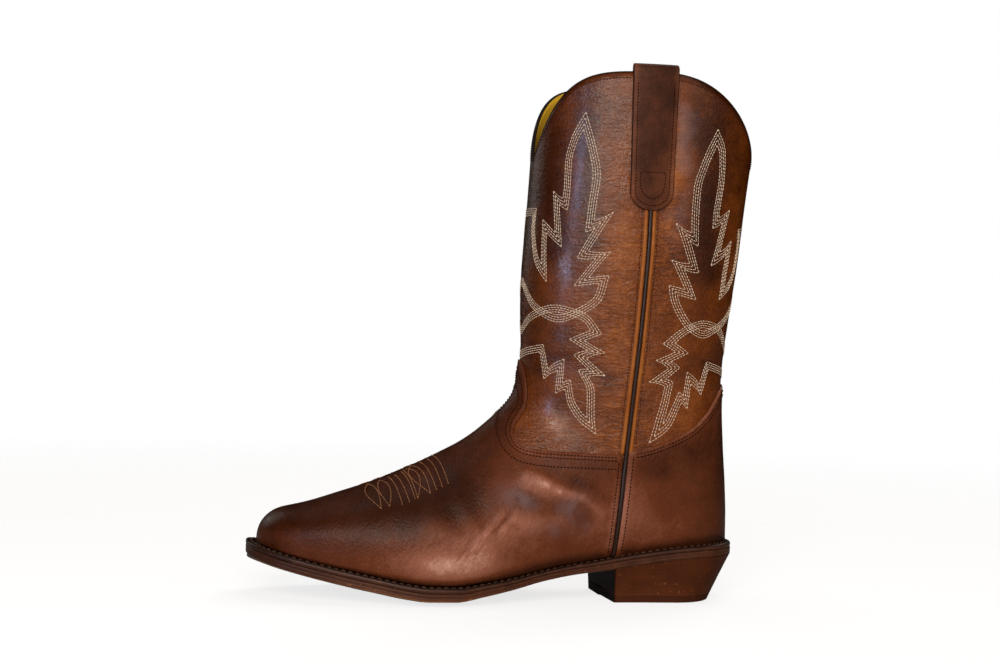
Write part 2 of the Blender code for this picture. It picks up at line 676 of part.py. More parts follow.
def make_top_binding(collection):
    """The bound edge right round the scalloped top line."""
    shares = np.linspace(-1, 1, GRID_COLUMNS + 1)[:-1]
    edge, below = last_surface(np.array([LAST_ROW, LAST_ROW - BINDING_STEP]), shares)
    along = unit(np.roll(edge, -1, axis=0) - np.roll(edge, 1, axis=0))
    rise = edge - below
    rise = unit(rise - along * np.sum(rise * along, axis=1, keepdims=True))
    outward = np.cross(rise, along)
    centre = edge - outward * WALL / 2 + rise * (GAP + BINDING_RADIUS)
    tube("top_binding", centre, BINDING_RADIUS, "binding", collection, closed=True)


def strap_path():
    """The pull strap's run: up the outer leg by height, over the top line by angle, down the inner leg."""
    outer = [("outer", STRAP_FOOT_Z + step) for step in STRAP_OUTER_STEPS] + [("outer", STRAP_TOP_Z)]
    turn = [("loop", angle) for angle in np.linspace(0, math.pi, STRAP_LOOP_STEPS)]
    inner = [("inner", z) for z in np.linspace(STRAP_TOP_Z, STRAP_INNER_FOOT_Z, STRAP_INNER_STEPS)]
    return outer + turn + inner


def make_pull_strap(name, side, collection):
    """A pull strap over the top line at the side seam, sewn down outside and inside the shaft."""
    outer_lift = STRAP_GAP + STRAP_THICKNESS / 2
    inner_lift = -(WALL + STRAP_GAP + STRAP_THICKNESS / 2)
    middle, swing = (outer_lift + inner_lift) / 2, (outer_lift - inner_lift) / 2
    points = []
    for leg, value in strap_path():
        z = STRAP_TOP_Z if leg == "loop" else value
        half = STRAP_WIDTH / 2 - STRAP_TAPER * (STRAP_TOP_Z - z) / (STRAP_TOP_Z - STRAP_FOOT_Z)
        if leg == "outer":
            half *= float(cap(value - STRAP_FOOT_Z + STRAP_TIP, STRAP_ROUND))
        for share in np.linspace(-1, 1, STRAP_COLUMNS + 1):
            point, normal = side.at(float(side_seam_x(z)) + half * share, z)
            if leg == "loop":
                lift = middle + swing * math.cos(value)
                point = point + (0, 0, STRAP_LOOP_Z - STRAP_TOP_Z + swing * math.sin(value))
            else:
                lift = outer_lift if leg == "outer" else inner_lift
            points.append(point + normal * lift)
    mesh = mesh_of(name, points, sheet_faces(len(strap_path()), STRAP_COLUMNS + 1))
    strap = piece(name, mesh, "strap", collection)
    leather_thickness = strap.modifiers.new("thickness", "SOLIDIFY")
    leather_thickness.thickness = STRAP_THICKNESS * MM
    leather_thickness.offset = 0.0
    return strap


def make_boot():
    """Clear the scene and make every piece under one origin."""
    for old in list(bpy.data.objects):
        bpy.data.objects.remove(old)
    boot = bpy.data.collections.new("western_boot")
    cutters = bpy.data.collections.new("cutters")
    for made in (boot, cutters):
        bpy.context.scene.collection.children.link(made)
    origin = bpy.data.objects.new("boot_origin", None)
    origin.location.x = -ORIGIN_X * MM
    boot.objects.link(origin)
    upper = make_upper(boot)
    make_insole(boot)
    make_welt(boot)
    make_outsole(boot)
    make_heel(boot)
    make_vamp(boot, cutters)
    make_counter(boot, cutters)
    make_top_binding(boot)
    for label, sign in (("outer", -1), ("inner", 1)):
        side = ShaftSide(upper, sign)
        make_side_piping("side_piping_" + label, side, boot)
        make_pull_strap("pull_strap_" + label, side, boot)


make_boot()
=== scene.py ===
# %% [markdown]
# # A western boot, dressed from its solids
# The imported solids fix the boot's place and size. This lesson repeats the formulas that shaped them, on
# finer grids, cuts the leather out of one master surface, sews it together and gives each leather its own
# finish. All tables are in millimetres, in the frame of the shoemaker's last: toe towards -X, outer side
# towards -Y.

# %% Load the solids
import math

import bmesh
import bpy
import numpy as np
from mathutils import Matrix, Vector


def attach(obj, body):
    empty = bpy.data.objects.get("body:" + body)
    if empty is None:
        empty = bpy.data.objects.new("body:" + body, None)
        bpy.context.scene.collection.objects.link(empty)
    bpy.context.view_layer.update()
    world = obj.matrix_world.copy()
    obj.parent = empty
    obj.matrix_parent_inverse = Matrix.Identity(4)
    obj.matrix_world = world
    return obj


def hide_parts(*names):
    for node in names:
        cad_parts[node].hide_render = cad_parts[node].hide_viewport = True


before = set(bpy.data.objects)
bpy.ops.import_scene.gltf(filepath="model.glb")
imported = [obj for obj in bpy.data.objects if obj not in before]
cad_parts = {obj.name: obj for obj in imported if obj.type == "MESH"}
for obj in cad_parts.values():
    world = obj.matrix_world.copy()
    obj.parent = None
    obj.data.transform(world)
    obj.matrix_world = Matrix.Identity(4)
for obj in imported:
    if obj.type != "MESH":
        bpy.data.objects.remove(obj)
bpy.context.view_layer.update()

MM = 0.001
TINY = 1e-6

# %% [markdown]
# ## The boot's own sizes
# A boot is built on a last, so its tables are the last's: stations along the sole, and slanted sections
# from the front line down to the feather, the line where upper and welt meet. They are the same numbers
# that the solids use.

# %% Sizes
ORIGIN_X = -1.37  # the frame's origin stands here in the last's frame
WALL, OVERLAY, GAP = 2.2, 1.2, 0.3  # thickness of the wall and the overlays, and the room between pieces
SOLE_TOE_X, SOLE_HEEL_X = -156.2, 147.2
TOE_CAP, TOE_ROUND, HEEL_CAP = 30.0, 2.5, 33.0  # how far the ends round off, and the toe's sharpness
SOLE_COLUMNS = ("x", "keel", "crown", "outer", "inner", "outsole", "welt", "reach")
SOLE_TABLE = (
    (-156.2, 22.6, 2.0, 31.5, 32.5, 4.8, 3.0, 7.7),
    (-140.0, 18.1, 2.2, 35.0, 35.6, 4.8, 3.0, 7.3),
    (-122.0, 13.5, 2.4, 39.0, 39.4, 4.8, 3.0, 6.9),
    (-100.0, 8.6, 2.6, 44.2, 45.6, 4.8, 3.0, 6.6),
    (-80.0, 4.6, 2.8, 48.2, 50.4, 4.8, 3.0, 6.4),
    (-62.0, 1.3, 2.8, 51.2, 52.5, 4.8, 3.0, 6.3),
    (-50.0, 0.0, 2.8, 52.3, 51.8, 4.8, 3.0, 6.3),
    (-34.0, 0.0, 2.8, 52.3, 48.9, 4.6, 2.9, 6.2),
    (-18.0, 3.0, 2.6, 50.3, 44.8, 4.2, 2.6, 5.6),
    (0.0, 7.0, 2.2, 46.2, 39.4, 3.7, 2.3, 4.9),
    (18.0, 12.0, 1.6, 41.6, 34.4, 3.4, 2.1, 4.4),
    (38.0, 16.4, 0.8, 37.6, 31.0, 3.5, 2.1, 4.3),
    (61.0, 20.0, 0.0, 35.0, 30.4, 4.0, 2.4, 4.6),
    (82.0, 23.2, 0.0, 34.4, 31.8, 4.2, 2.6, 4.8),
    (108.0, 26.8, 0.0, 34.8, 33.8, 4.2, 2.6, 5.2),
    (130.0, 28.4, 0.0, 35.0, 34.6, 4.2, 2.6, 5.4),
    (147.2, 28.8, 0.0, 35.0, 34.8, 4.2, 2.6, 5.4),
)
SECTION_COLUMNS = (
    "front_x", "front_z", "back_x", "back_z", "outer", "inner", "equator", "front_round", "back_round", "bow",
)
FEATHER = -1.0  # in the back_z column: the section ends on the feather line
SECTION_TABLE = (
    (-148.5, 48.2, -148.5, FEATHER, 25.0, 26.0, 0.62, 2.60, 2.00, 0.0),
    (-121.0, 53.9, -121.5, FEATHER, 33.6, 34.2, 0.66, 2.50, 2.00, 0.0),
    (-100.0, 60.7, -100.0, FEATHER, 39.2, 40.6, 0.70, 2.35, 2.00, 0.0),
    (-81.0, 67.4, -80.0, FEATHER, 43.5, 45.7, 0.74, 2.20, 2.00, 0.0),
    (-65.7, 73.9, -60.0, FEATHER, 47.0, 48.2, 0.76, 2.10, 2.00, 0.0),
    (-51.7, 80.3, -40.0, FEATHER, 48.4, 47.4, 0.76, 2.00, 2.00, 0.0),
    (-38.8, 86.8, -18.0, FEATHER, 47.4, 44.2, 0.72, 1.95, 2.00, 0.0),
    (-27.0, 93.2, 6.0, FEATHER, 44.8, 41.4, 0.66, 1.90, 2.00, 0.0),
    (-17.7, 99.6, 32.0, FEATHER, 42.0, 39.4, 0.60, 1.90, 2.05, 0.0),
    (-10.0, 106.1, 58.0, FEATHER, 39.8, 38.0, 0.56, 1.90, 2.10, 0.0),
    (-3.2, 112.5, 84.0, FEATHER, 38.2, 37.0, 0.53, 1.90, 2.20, 0.0),
    (2.5, 118.7, 110.0, FEATHER, 37.2, 36.5, 0.51, 1.90, 2.35, 0.0),
    (6.4, 124.9, 131.0, FEATHER, 36.8, 36.4, 0.50, 1.95, 2.45, 0.0),
    (8.3, 131.0, 141.8, FEATHER, 36.9, 36.6, 0.49, 2.00, 2.50, 0.0),
    (9.0, 138.0, 141.5, 52.0, 37.6, 37.4, 0.49, 2.00, 2.50, 0.0),
    (9.5, 146.0, 140.4, 72.0, 38.6, 38.4, 0.49, 2.00, 2.45, 0.0),
    (9.7, 155.5, 138.5, 95.0, 39.8, 39.6, 0.49, 2.00, 2.40, 0.0),
    (9.3, 167.0, 137.2, 121.0, 41.2, 41.0, 0.49, 2.05, 2.30, 2.0),
    (8.8, 181.0, 138.4, 147.0, 42.6, 42.4, 0.49, 2.10, 2.20, 6.0),
    (8.9, 198.0, 141.8, 176.0, 44.0, 43.8, 0.49, 2.10, 2.20, 13.0),
    (9.9, 217.0, 146.0, 207.0, 45.3, 45.2, 0.49, 2.10, 2.20, 22.0),
    (11.4, 239.0, 149.4, 240.0, 46.6, 46.6, 0.50, 2.10, 2.20, 35.0),
    (13.0, 269.0, 153.0, 270.0, 48.0, 48.0, 0.50, 2.10, 2.20, 52.5),
)
LAST_ROW, HEEL_POINT_ROW = len(SECTION_TABLE) - 1, 13
OPEN_EDGE_SHARE, TOE_NOSE, TOE_NOSE_ROUND = 0.97, 17.0, 2.6
TOE_SWING, TOE_SWING_START_X = 5.0, -50.0
FRONT_DIP, BACK_DIP = (1.45, 2.2), (1.4, 1.0)  # powers that shape the top line's scallop
SIDE_SEAM = np.array([
    (64.2, 24.0), (65.5, 45.0), (67.5, 69.0), (70.2, 100.0), (72.3, 130.0), (74.6, 161.0), (76.3, 191.0),
    (77.6, 222.0), (78.3, 330.0),
])
VAMP_TOP_LINE = np.array([
    (7.2, 153.0), (9.9, 145.0), (11.3, 137.0), (12.2, 126.0), (11.4, 119.0), (8.2, 112.8), (3.6, 105.6),
    (2.2, 101.0), (3.5, 96.2), (7.7, 93.2), (20.6, 91.5), (41.0, 91.0), (69.0, 90.6),
])
COUNTER_TOP_LINE = np.array([
    (69.0, 92.2), (80.7, 94.5), (94.7, 99.4), (109.0, 106.5), (119.5, 115.2), (127.0, 124.0), (134.0, 132.0),
    (144.0, 138.0),
])
print(len(SOLE_TABLE), "sole stations and", len(SECTION_TABLE), "sections of the last")

# %% [markdown]
# ## Curves through the tables
# A table only has values at its knots. A cubic through them could swing past a value and dent the
# leather, so this one limits each slope: the tangent at a knot is the weighted harmonic mean of the
# slopes beside it.

# %% Smooth curves
def smooth_line(knots, values, at):
    """Cubic Hermite curve through the knots, its tangents the harmonic mean of the slopes on both sides."""
    step = np.diff(knots)
    slope = np.diff(values) / step
    tangent = np.concatenate([slope[:1], (slope[1:] + slope[:-1]) / 2, slope[-1:]])
    with np.errstate(divide="ignore", invalid="ignore"):
        weighted = 3 * (step[1:] + step[:-1]) / (
            (2 * step[1:] + step[:-1]) / slope[:-1] + (step[1:] + 2 * step[:-1]) / slope[1:]
        )
    tangent[1:-1] = np.where(slope[1:] * slope[:-1] > 0, weighted, 0.0)
    at = np.clip(np.asarray(at, float), knots[0], knots[-1])
    i = np.clip(np.searchsorted(knots, at, side="right") - 1, 0, len(step) - 1)
    u = (at - knots[i]) / step[i]
    return (
        values[i] * (1 + 2 * u) * (1 - u) ** 2
        + values[i + 1] * u**2 * (3 - 2 * u)
        + step[i] * (tangent[i] * u * (1 - u) ** 2 - tangent[i + 1] * u**2 * (1 - u))
    )


def run_length(points):
    """Distance along a line of points, from its first point."""
    return np.concatenate([[0.0], np.cumsum(np.linalg.norm(np.diff(points, axis=0), axis=1))])


def curve_through(points, spacing):
    """A smooth line through a few points: each coordinate is a smooth curve of the chord length."""
    run = run_length(points)
    at = np.linspace(0.0, run[-1], max(2, int(round(run[-1] / spacing)) + 1))
    return np.stack([smooth_line(run, points[:, k], at) for k in range(points.shape[1])], axis=1)


def cap(distance, length, sharpness=2.0):
    """A rounded end: a superellipse that is 0 at the tip and 1 once the distance reaches the length."""
    u = np.clip(distance / length, 0.0, 1.0)
    return (1 - (1 - u) ** sharpness) ** (1 / sharpness)


def side_seam_x(z):
    """The side seam's place along the boot at a height."""
    return smooth_line(SIDE_SEAM[:, 1], SIDE_SEAM[:, 0], z)


SOLE = {name: np.array(values, float) for name, values in zip(SOLE_COLUMNS, zip(*SOLE_TABLE))}


def sole(x, name):
    """A column of the sole's table, read at x."""
    return smooth_line(SOLE["x"], SOLE[name], x)


def half_width(x, side, inset=0.0):
    """Half width of the sole's outline at x, drawn in by an inset and rounded off at both ends."""
    ends = cap(x - SOLE_TOE_X - inset, TOE_CAP, TOE_ROUND) * cap(SOLE_HEEL_X - inset - x, HEEL_CAP)
    return np.maximum(sole(x, side) - inset, 0.0) * ends


def tread(x, share):
    """Height of the outsole's underside: the keel, plus a crown that rises outside the flat middle share."""
    return sole(x, "keel") + sole(x, "crown") * np.clip((np.abs(share) - 0.45) / 0.55, 0.0, 1.0) ** 2


def outsole_top(x):
    """Height of the outsole's upper face."""
    return tread(x, 1.0) + sole(x, "outsole")


def welt_top(x):
    """Height of the welt's upper face."""
    return outsole_top(x) + GAP + sole(x, "welt")


def feather_z(x):
    """Height of the feather line, just above the welt."""
    return welt_top(x) + GAP


def toe_swing(x):
    """How far the foot's middle line turns in at x: a parabola from the ball to the toe."""
    return TOE_SWING * np.clip((TOE_SWING_START_X - x) / (TOE_SWING_START_X - SOLE_TOE_X), 0.0, 1.0) ** 2


toe_spring, heel_seat = (round(float(sole(x, "keel")), 1) for x in (SOLE_TOE_X, 120.0))
print("toe spring", toe_spring, "mm, heel seat", heel_seat, "mm")

# %% [markdown]
# ## The master surface
# Every leather piece lies on one form, so it is worked out once: a grid of rows (sections, toe to top
# line) by shares (0 on the front line, -1 and 1 where a section ends outside and inside). Each section is
# two half superellipses. A relaxing pass takes out the faint kinks at the table's rows, then back out a
# little so that nothing shrinks.

# %% Master surface
def section_columns():
    """The section table by name, with the open sections' ends set on the feather line."""
    table = {name: np.array(values, float) for name, values in zip(SECTION_COLUMNS, zip(*SECTION_TABLE))}
    table["back_z"] = np.where(table["back_z"] == FEATHER, feather_z(table["back_x"]), table["back_z"])
    return table


SECTIONS = section_columns()


def sections_at(rows):
    """Every column of the section table at fractional rows, with the toe and the heel rounded off."""
    at = {name: smooth_line(np.arange(LAST_ROW + 1.0), values, rows) for name, values in SECTIONS.items()}
    from_toe = at["back_x"] - SECTIONS["back_x"][0]
    at["back_z"] = np.where(rows <= HEEL_POINT_ROW, feather_z(at["back_x"]), at["back_z"])
    at["front_z"] = at["back_z"] + (at["front_z"] - at["back_z"]) * cap(from_toe, TOE_NOSE, TOE_NOSE_ROUND)
    toe, heel = SOLE_TOE_X + SOLE["reach"][0], SOLE_HEEL_X - SOLE["reach"][-1]
    for side in ("outer", "inner"):
        edge = sole(at["back_x"], side) - sole(at["back_x"], "reach")
        edge = edge * cap(at["back_x"] - toe, TOE_CAP, TOE_ROUND) * cap(heel - at["back_x"], HEEL_CAP)
        at[side] = at[side] * cap(from_toe, TOE_CAP, TOE_ROUND)
        edge = np.where(rows < HEEL_POINT_ROW, edge, 0.0)
        at[side + "_edge"] = np.minimum(edge, at[side] * OPEN_EDGE_SHARE)
    return at


def last_surface(rows, shares):
    """Sections from the front line to their widest point and on to their end, as two half superellipses.

    With angle = share times the end angle, a point lies at cos(angle)^(2/n) along the section and at
    sin(angle)^(2/n) of its half width; the top line's scallop adds bow * (1 - (1 - sin^a)^b) of height.
    """
    at = {name: values[:, None] for name, values in sections_at(rows).items()}
    shares = shares[None, :]
    outer = shares < 0
    width = np.where(outer, at["outer"], at["inner"])
    edge = np.where(outer, at["outer_edge"], at["inner_edge"])
    power_end = 2 / at["back_round"]
    end = math.pi - np.arcsin((edge / np.maximum(width, TINY)) ** (1 / power_end))
    angle = np.abs(shares) * end
    in_front = angle < math.pi / 2
    power = np.where(in_front, 2 / at["front_round"], power_end)
    back_reach = (1 - at["equator"]) / np.abs(np.cos(end)) ** power_end
    place = at["equator"] + np.where(in_front, -at["equator"], back_reach) * np.abs(np.cos(angle)) ** power
    x = at["front_x"] + place * (at["back_x"] - at["front_x"])
    y = np.where(outer, -1.0, 1.0) * width * np.abs(np.sin(angle)) ** power + toe_swing(x)
    foot = np.where(in_front, FRONT_DIP[0], BACK_DIP[0])
    shoulder = np.where(in_front, FRONT_DIP[1], BACK_DIP[1])
    rise = 1 - (1 - np.abs(np.sin(angle)) ** foot) ** shoulder
    z = at["front_z"] + place * (at["back_z"] - at["front_z"]) + at["bow"] * rise
    return np.stack([x, y, z], axis=-1)


def with_margins(grid):
    """One more column on each side: across the back where the upper is closed, straight on elsewhere."""
    closed = (ROWS >= HEEL_POINT_ROW)[:, None, None]
    left = np.where(closed, grid[:, -2:-1], 2 * grid[:, :1] - grid[:, 1:2])
    right = np.where(closed, grid[:, 1:2], 2 * grid[:, -1:] - grid[:, -2:-1])
    return np.concatenate([left, grid, right], axis=1)


def relax(grid, rounds):
    """Each point moves half way to the mean of its four neighbours, then out again by a little more."""
    near_edge = np.clip((1 - np.abs(SHARES)) / 0.08, 0, 1)[None, :]
    heel_shut = np.clip((ROWS - HEEL_POINT_ROW - 0.3) / 1.0, 0, 1)[:, None]
    free = np.maximum(near_edge, heel_shut) * np.clip(ROWS / 0.5 - 0.2, 0, 1)[:, None]
    free = free * np.clip((LAST_ROW - ROWS) / 0.4, 0, 1)[:, None]
    for step in [0.5, -0.53] * rounds:
        wide = with_margins(grid)
        mean = (np.roll(grid, 1, axis=0) + np.roll(grid, -1, axis=0) + wide[:, 2:] + wide[:, :-2]) / 4
        grid = grid + step * free[..., None] * (mean - grid)
    return grid


def grid_normals(grid):
    """Outward unit normals: the cross product of the directions along the rows and along the shares."""
    along = np.gradient(grid, axis=0)
    around = np.gradient(with_margins(grid), axis=1)[:, 1:-1]
    normal = np.cross(along, around)
    normal[0] = normal[1]
    return normal / np.maximum(np.linalg.norm(normal, axis=-1, keepdims=True), TINY)


ROWS = np.concatenate([
    np.linspace(0, 1, 24, endpoint=False) ** 2,
    np.linspace(1, HEEL_POINT_ROW, 132, endpoint=False),
    np.linspace(HEEL_POINT_ROW, LAST_ROW, 108),
])
SHARES = np.linspace(-1, 1, 225)
SKIN = relax(last_surface(ROWS, SHARES), 14)
print("master surface:", SKIN.shape[0], "rows by", SKIN.shape[1], "points")

# %% [markdown]
# ## Creases
# New leather already shows where it was pulled over the last: a soft fold runs down from the throat over
# the instep, small wrinkles gather beside the ball, and the shaft ripples at the ankle and behind the
# strap. Each is placed as a line in the side view with a width and a height, and raises or sinks
# the surface by a bell curve of the distance to it.

# %% Creases
CREASES = np.array([  # x0, z0, x1, z1, width, height
    # the fold over the instep, and the hollows beside it
    (9.0, 78.0, 20.0, 72.5, 3.4, 0.70),
    (20.0, 72.5, 28.0, 68.2, 2.8, 0.75),
    (28.0, 68.2, 43.0, 64.0, 2.4, 0.70),
    (43.0, 64.0, 55.0, 54.5, 2.2, 0.55),
    (23.0, 79.0, 37.0, 74.5, 4.0, -0.40),
    (37.0, 74.5, 59.0, 63.5, 4.0, -0.55),
    (4.0, 67.0, 24.0, 59.0, 5.0, -0.40),
    (30.0, 57.0, 46.0, 50.0, 5.0, -0.30),
    # wrinkles and hollows beside the ball
    (-18.0, 43.0, -7.0, 54.5, 1.8, 0.50),
    (-12.5, 43.5, -3.0, 54.0, 1.5, -0.50),
    (-8.0, 44.0, 0.5, 52.0, 1.5, 0.40),
    (-26.0, 34.0, -15.0, 46.0, 2.4, 0.40),
    (-32.0, 31.0, -19.0, 46.0, 2.6, -0.40),
    (-6.0, 50.5, 2.0, 46.0, 1.3, -0.45),
    (-50.0, 46.0, -14.0, 31.0, 9.0, 0.70),
    (-34.0, 76.0, -18.0, 50.0, 6.0, -0.55),
    (-46.0, 70.0, -32.0, 44.0, 6.0, -0.35),
    # ripples of the shaft, from the ankle up
    (30.0, 118.0, 60.0, 112.0, 4.0, -0.40),
    (26.0, 132.0, 64.0, 126.0, 5.0, 0.35),
    (24.0, 148.0, 58.0, 139.0, 5.0, -0.45),
    (88.0, 140.0, 128.0, 146.0, 5.0, -0.45),
    (86.0, 156.0, 122.0, 160.0, 6.0, 0.40),
    (92.0, 122.0, 124.0, 132.0, 5.0, 0.30),
    (20.0, 206.0, 40.0, 196.0, 6.0, -0.35),
    (94.0, 214.0, 124.0, 204.0, 7.0, -0.40),
    # pull lines behind the strap and beside the piping
    (98.2, 285.5, 92.8, 278.3, 1.8, -0.40),
    (96.4, 279.5, 93.4, 272.2, 1.8, 0.40),
    (97.6, 269.1, 92.2, 267.3, 1.7, -0.35),
    (92.8, 261.8, 89.2, 231.4, 3.5, 0.45),
    (98.8, 258.2, 94.0, 231.4, 3.5, -0.40),
    (97.0, 314.0, 95.8, 288.6, 4.5, 0.40),
    (104.0, 299.5, 100.0, 275.2, 4.0, -0.35),
    (80.8, 231.4, 89.2, 235.0, 1.6, -0.28),
    (80.8, 227.2, 90.0, 230.2, 1.6, 0.28),
    (80.2, 222.9, 88.6, 225.4, 1.6, -0.28),
    (80.2, 218.7, 87.4, 221.1, 1.6, 0.25),
])


def bell(distance, width):
    """A bell curve: 1 on the line, and about a third at one width from it."""
    return np.exp(-((distance / width) ** 2))


def segment_distance(x, z, x0, z0, x1, z1):
    """Distance in the side view from points to a straight line between two points."""
    run_x, run_z = x1 - x0, z1 - z0
    t = np.clip(((x - x0) * run_x + (z - z0) * run_z) / (run_x**2 + run_z**2), 0, 1)
    return np.hypot(x - x0 - t * run_x, z - z0 - t * run_z)


def crease_relief(x, z):
    """Height of all the creases together at points of the side view."""
    relief = 0.0
    for x0, z0, x1, z1, width, height in CREASES:
        relief = relief + height * bell(segment_distance(x, z, x0, z0, x1, z1), width)
    return relief


relief = crease_relief(SKIN[..., 0], SKIN[..., 2])
SKIN = SKIN + relief[..., None] * grid_normals(SKIN)
NORMALS = grid_normals(SKIN)
print("creases:", len(CREASES), "from", round(relief.min(), 2), "to", round(relief.max(), 2), "mm")

# %% [markdown]
# ## Reading the surface
# Pieces, seams and threads all ask the master surface for points: by row and share, by place round the
# shaft and height, or by where they show in the side view. The first is a cubic blend of the sixteen grid
# points around; the other two search for the row and share that give the wanted place.

# %% Reading the surface
def read_grid(grid, row, share):
    """Cubic (Catmull-Rom) blend of the sixteen grid points around each row and share."""
    row, share = np.broadcast_arrays(np.asarray(row, float), np.asarray(share, float))
    i = np.interp(row, ROWS, np.arange(len(ROWS)))
    j = (np.clip(share, -1, 1) + 1) / 2 * (len(SHARES) - 1)
    i0 = np.clip(np.floor(i).astype(int), 0, len(ROWS) - 2)
    j0 = np.clip(np.floor(j).astype(int), 0, len(SHARES) - 2)
    wide = with_margins(grid)
    weights = []
    for f in (i - i0, j - j0):
        weights.append((
            (-f + 2 * f**2 - f**3) / 2,
            (2 - 5 * f**2 + 3 * f**3) / 2,
            (f + 4 * f**2 - 3 * f**3) / 2,
            (f**3 - f**2) / 2,
        ))
    total = 0.0
    for a in range(4):
        at_row = np.clip(i0 + a - 1, 0, len(ROWS) - 1)
        for b in range(4):
            total = total + (weights[0][a] * weights[1][b])[..., None] * wide[at_row, j0 + b]
    return total


def skin(row, share, lift=0.0):
    """Points of the upper's outside, moved out along its normals by a lift."""
    return read_grid(SKIN, row, share) + skin_normal(row, share) * np.asarray(lift, float)[..., None]


def skin_normal(row, share):
    """Outward normals of the upper."""
    normal = read_grid(NORMALS, row, share)
    return normal / np.maximum(np.linalg.norm(normal, axis=-1, keepdims=True), TINY)


SHAFT_FIRST_ROW = 12.6  # rows below this one belong to the foot
BATCH = 16  # points that are looked for at once


def row_at_height(share, z):
    """The last row at which the line of one share rises through a height, on the shaft.

    It lies between the last grid row below the height and the next one, in proportion to their heights.
    """
    first = int(np.searchsorted(ROWS, SHAFT_FIRST_ROW))
    j = (np.clip(share, -1, 1) + 1) / 2 * (len(SHARES) - 1)
    j0 = np.clip(np.floor(j).astype(int), 0, len(SHARES) - 2)
    height = SKIN[first:, j0, 2] * (1 - (j - j0)) + SKIN[first:, j0 + 1, 2] * (j - j0)
    lower = height < z
    above = np.where(lower.any(axis=0), len(height) - np.argmax(lower[::-1], axis=0), 1)
    above = above.clip(1, len(height) - 1)
    column = np.arange(len(j0))
    low, high = height[above - 1, column], height[above, column]
    part = np.clip((z - low) / np.maximum(high - low, TINY), 0, 1)
    return ROWS[first + above - 1] * (1 - part) + ROWS[first + above] * part


def find_on_side(x, z, side):
    """Row and share of the points that show at x and z, seen from the outer (-1) or the inner (1) side.

    The search starts at the nearest grid point, found batch by batch to save memory, and takes damped Newton
    steps on both parameters.
    """
    columns = np.flatnonzero(SHARES * side >= 0)
    flat = SKIN[:, columns][..., (0, 2)].reshape(-1, 2)
    wanted, step = np.stack([x, z], axis=-1), 0.01
    near = np.concatenate([
        np.argmin((batch[:, :1] - flat[:, 0]) ** 2 + (batch[:, 1:] - flat[:, 1]) ** 2, axis=1)
        for batch in np.array_split(wanted, len(wanted) // BATCH + 1)
    ])
    row, share = ROWS[near // len(columns)], SHARES[columns][near % len(columns)]
    for _ in range(8):
        here = skin(row, share)[:, (0, 2)]
        by_row = (skin(row + step, share)[:, (0, 2)] - skin(row - step, share)[:, (0, 2)]) / (2 * step)
        by_share = (skin(row, share + step)[:, (0, 2)] - skin(row, share - step)[:, (0, 2)]) / (2 * step)
        slopes = np.stack([by_row, by_share], axis=-1)
        square = np.swapaxes(slopes, 1, 2) @ slopes + np.eye(2) * 0.5
        move = np.linalg.solve(square, np.swapaxes(slopes, 1, 2) @ (wanted - here)[..., None])[..., 0]
        row = np.clip(row + np.clip(move[:, 0], -0.3, 0.3), 0, LAST_ROW)
        share = side * np.clip(side * (share + np.clip(move[:, 1], -0.05, 0.05)), 0, 1)
    return row, share


probe = find_on_side(np.array([70.0]), np.array([150.0]), -1)
print("the side view's point (70, 150) is at", np.round(skin(*probe)[0], 1))

# %% [markdown]
# ## Putting a mesh in the scene
# Every new piece goes through one function: points in the last's frame become metres in the boot's frame,
# the piece rides on the boot's one body, and the solids that it stands for are hidden.

# %% Meshes and pieces
SIDES = (("outer", -1), ("inner", 1))
MERGE, SLIVER = 0.004 * MM, 0.001 * MM  # points closer than this are one, edges shorter than this go


def grid_faces(rows, columns, ring=False):
    """Quads that join each point of a grid to its neighbours; a ring joins its last column to its first."""
    i = np.arange(rows - 1)[:, None]
    j = np.arange(columns if ring else columns - 1)[None, :]
    k = (j + 1) % columns
    corners = [i * columns + j, (i + 1) * columns + j, (i + 1) * columns + k, i * columns + k]
    return np.stack(corners, axis=-1).reshape(-1, 4)


def make_piece(name, points, faces, finish, slot, nodes=(), closed=False, sharp=None):
    """A piece of the boot: equal points merged, a closed one's faces turned outwards, shaded smooth."""
    placed = (np.asarray(points, float).reshape(-1, 3) - (ORIGIN_X, 0.0, 0.0)) * MM
    mesh = bpy.data.meshes.new(name)
    mesh.from_pydata(placed.tolist(), [], faces if isinstance(faces, list) else faces.tolist())
    shape = bmesh.new()
    shape.from_mesh(mesh)
    bmesh.ops.remove_doubles(shape, verts=shape.verts, dist=MERGE)
    bmesh.ops.dissolve_degenerate(shape, edges=shape.edges, dist=SLIVER)
    if closed:
        bmesh.ops.recalc_face_normals(shape, faces=shape.faces)
    shape.to_mesh(mesh)
    shape.free()
    mesh.shade_smooth()
    if sharp:
        mesh.set_sharp_from_angle(angle=math.radians(sharp))
    mesh.materials.append(finish)
    piece = bpy.data.objects.new(name, mesh)
    bpy.context.scene.collection.objects.link(piece)
    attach(piece, "root")
    if nodes:
        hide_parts(*nodes)
    return piece


def places(piece):
    """A piece's points as x, y and z in millimetres, in the last's frame."""
    co = np.empty(len(piece.data.vertices) * 3)
    piece.data.vertices.foreach_get("co", co)
    return co.reshape(-1, 3).T / MM + np.array([[ORIGIN_X], [0.0], [0.0]])


def paint(piece, name, values):
    """Stores a number from 0 to 1 for each point, or one for all, for the piece's finish to read."""
    values = np.broadcast_to(np.clip(values, 0, 1), len(piece.data.vertices)).astype(np.float32)
    piece.data.attributes.new(name, "FLOAT", "POINT").data.foreach_set("value", values)


def thicken(piece, thickness):
    """Gives an open sheet its thickness in millimetres, inwards from its surface."""
    wall = piece.modifiers.new("thickness", "SOLIDIFY")
    wall.thickness, wall.offset = thickness * MM, -1.0


print("3 by 4 points make", len(grid_faces(3, 4)), "quads, or", len(grid_faces(3, 4, ring=True)), "as a ring")

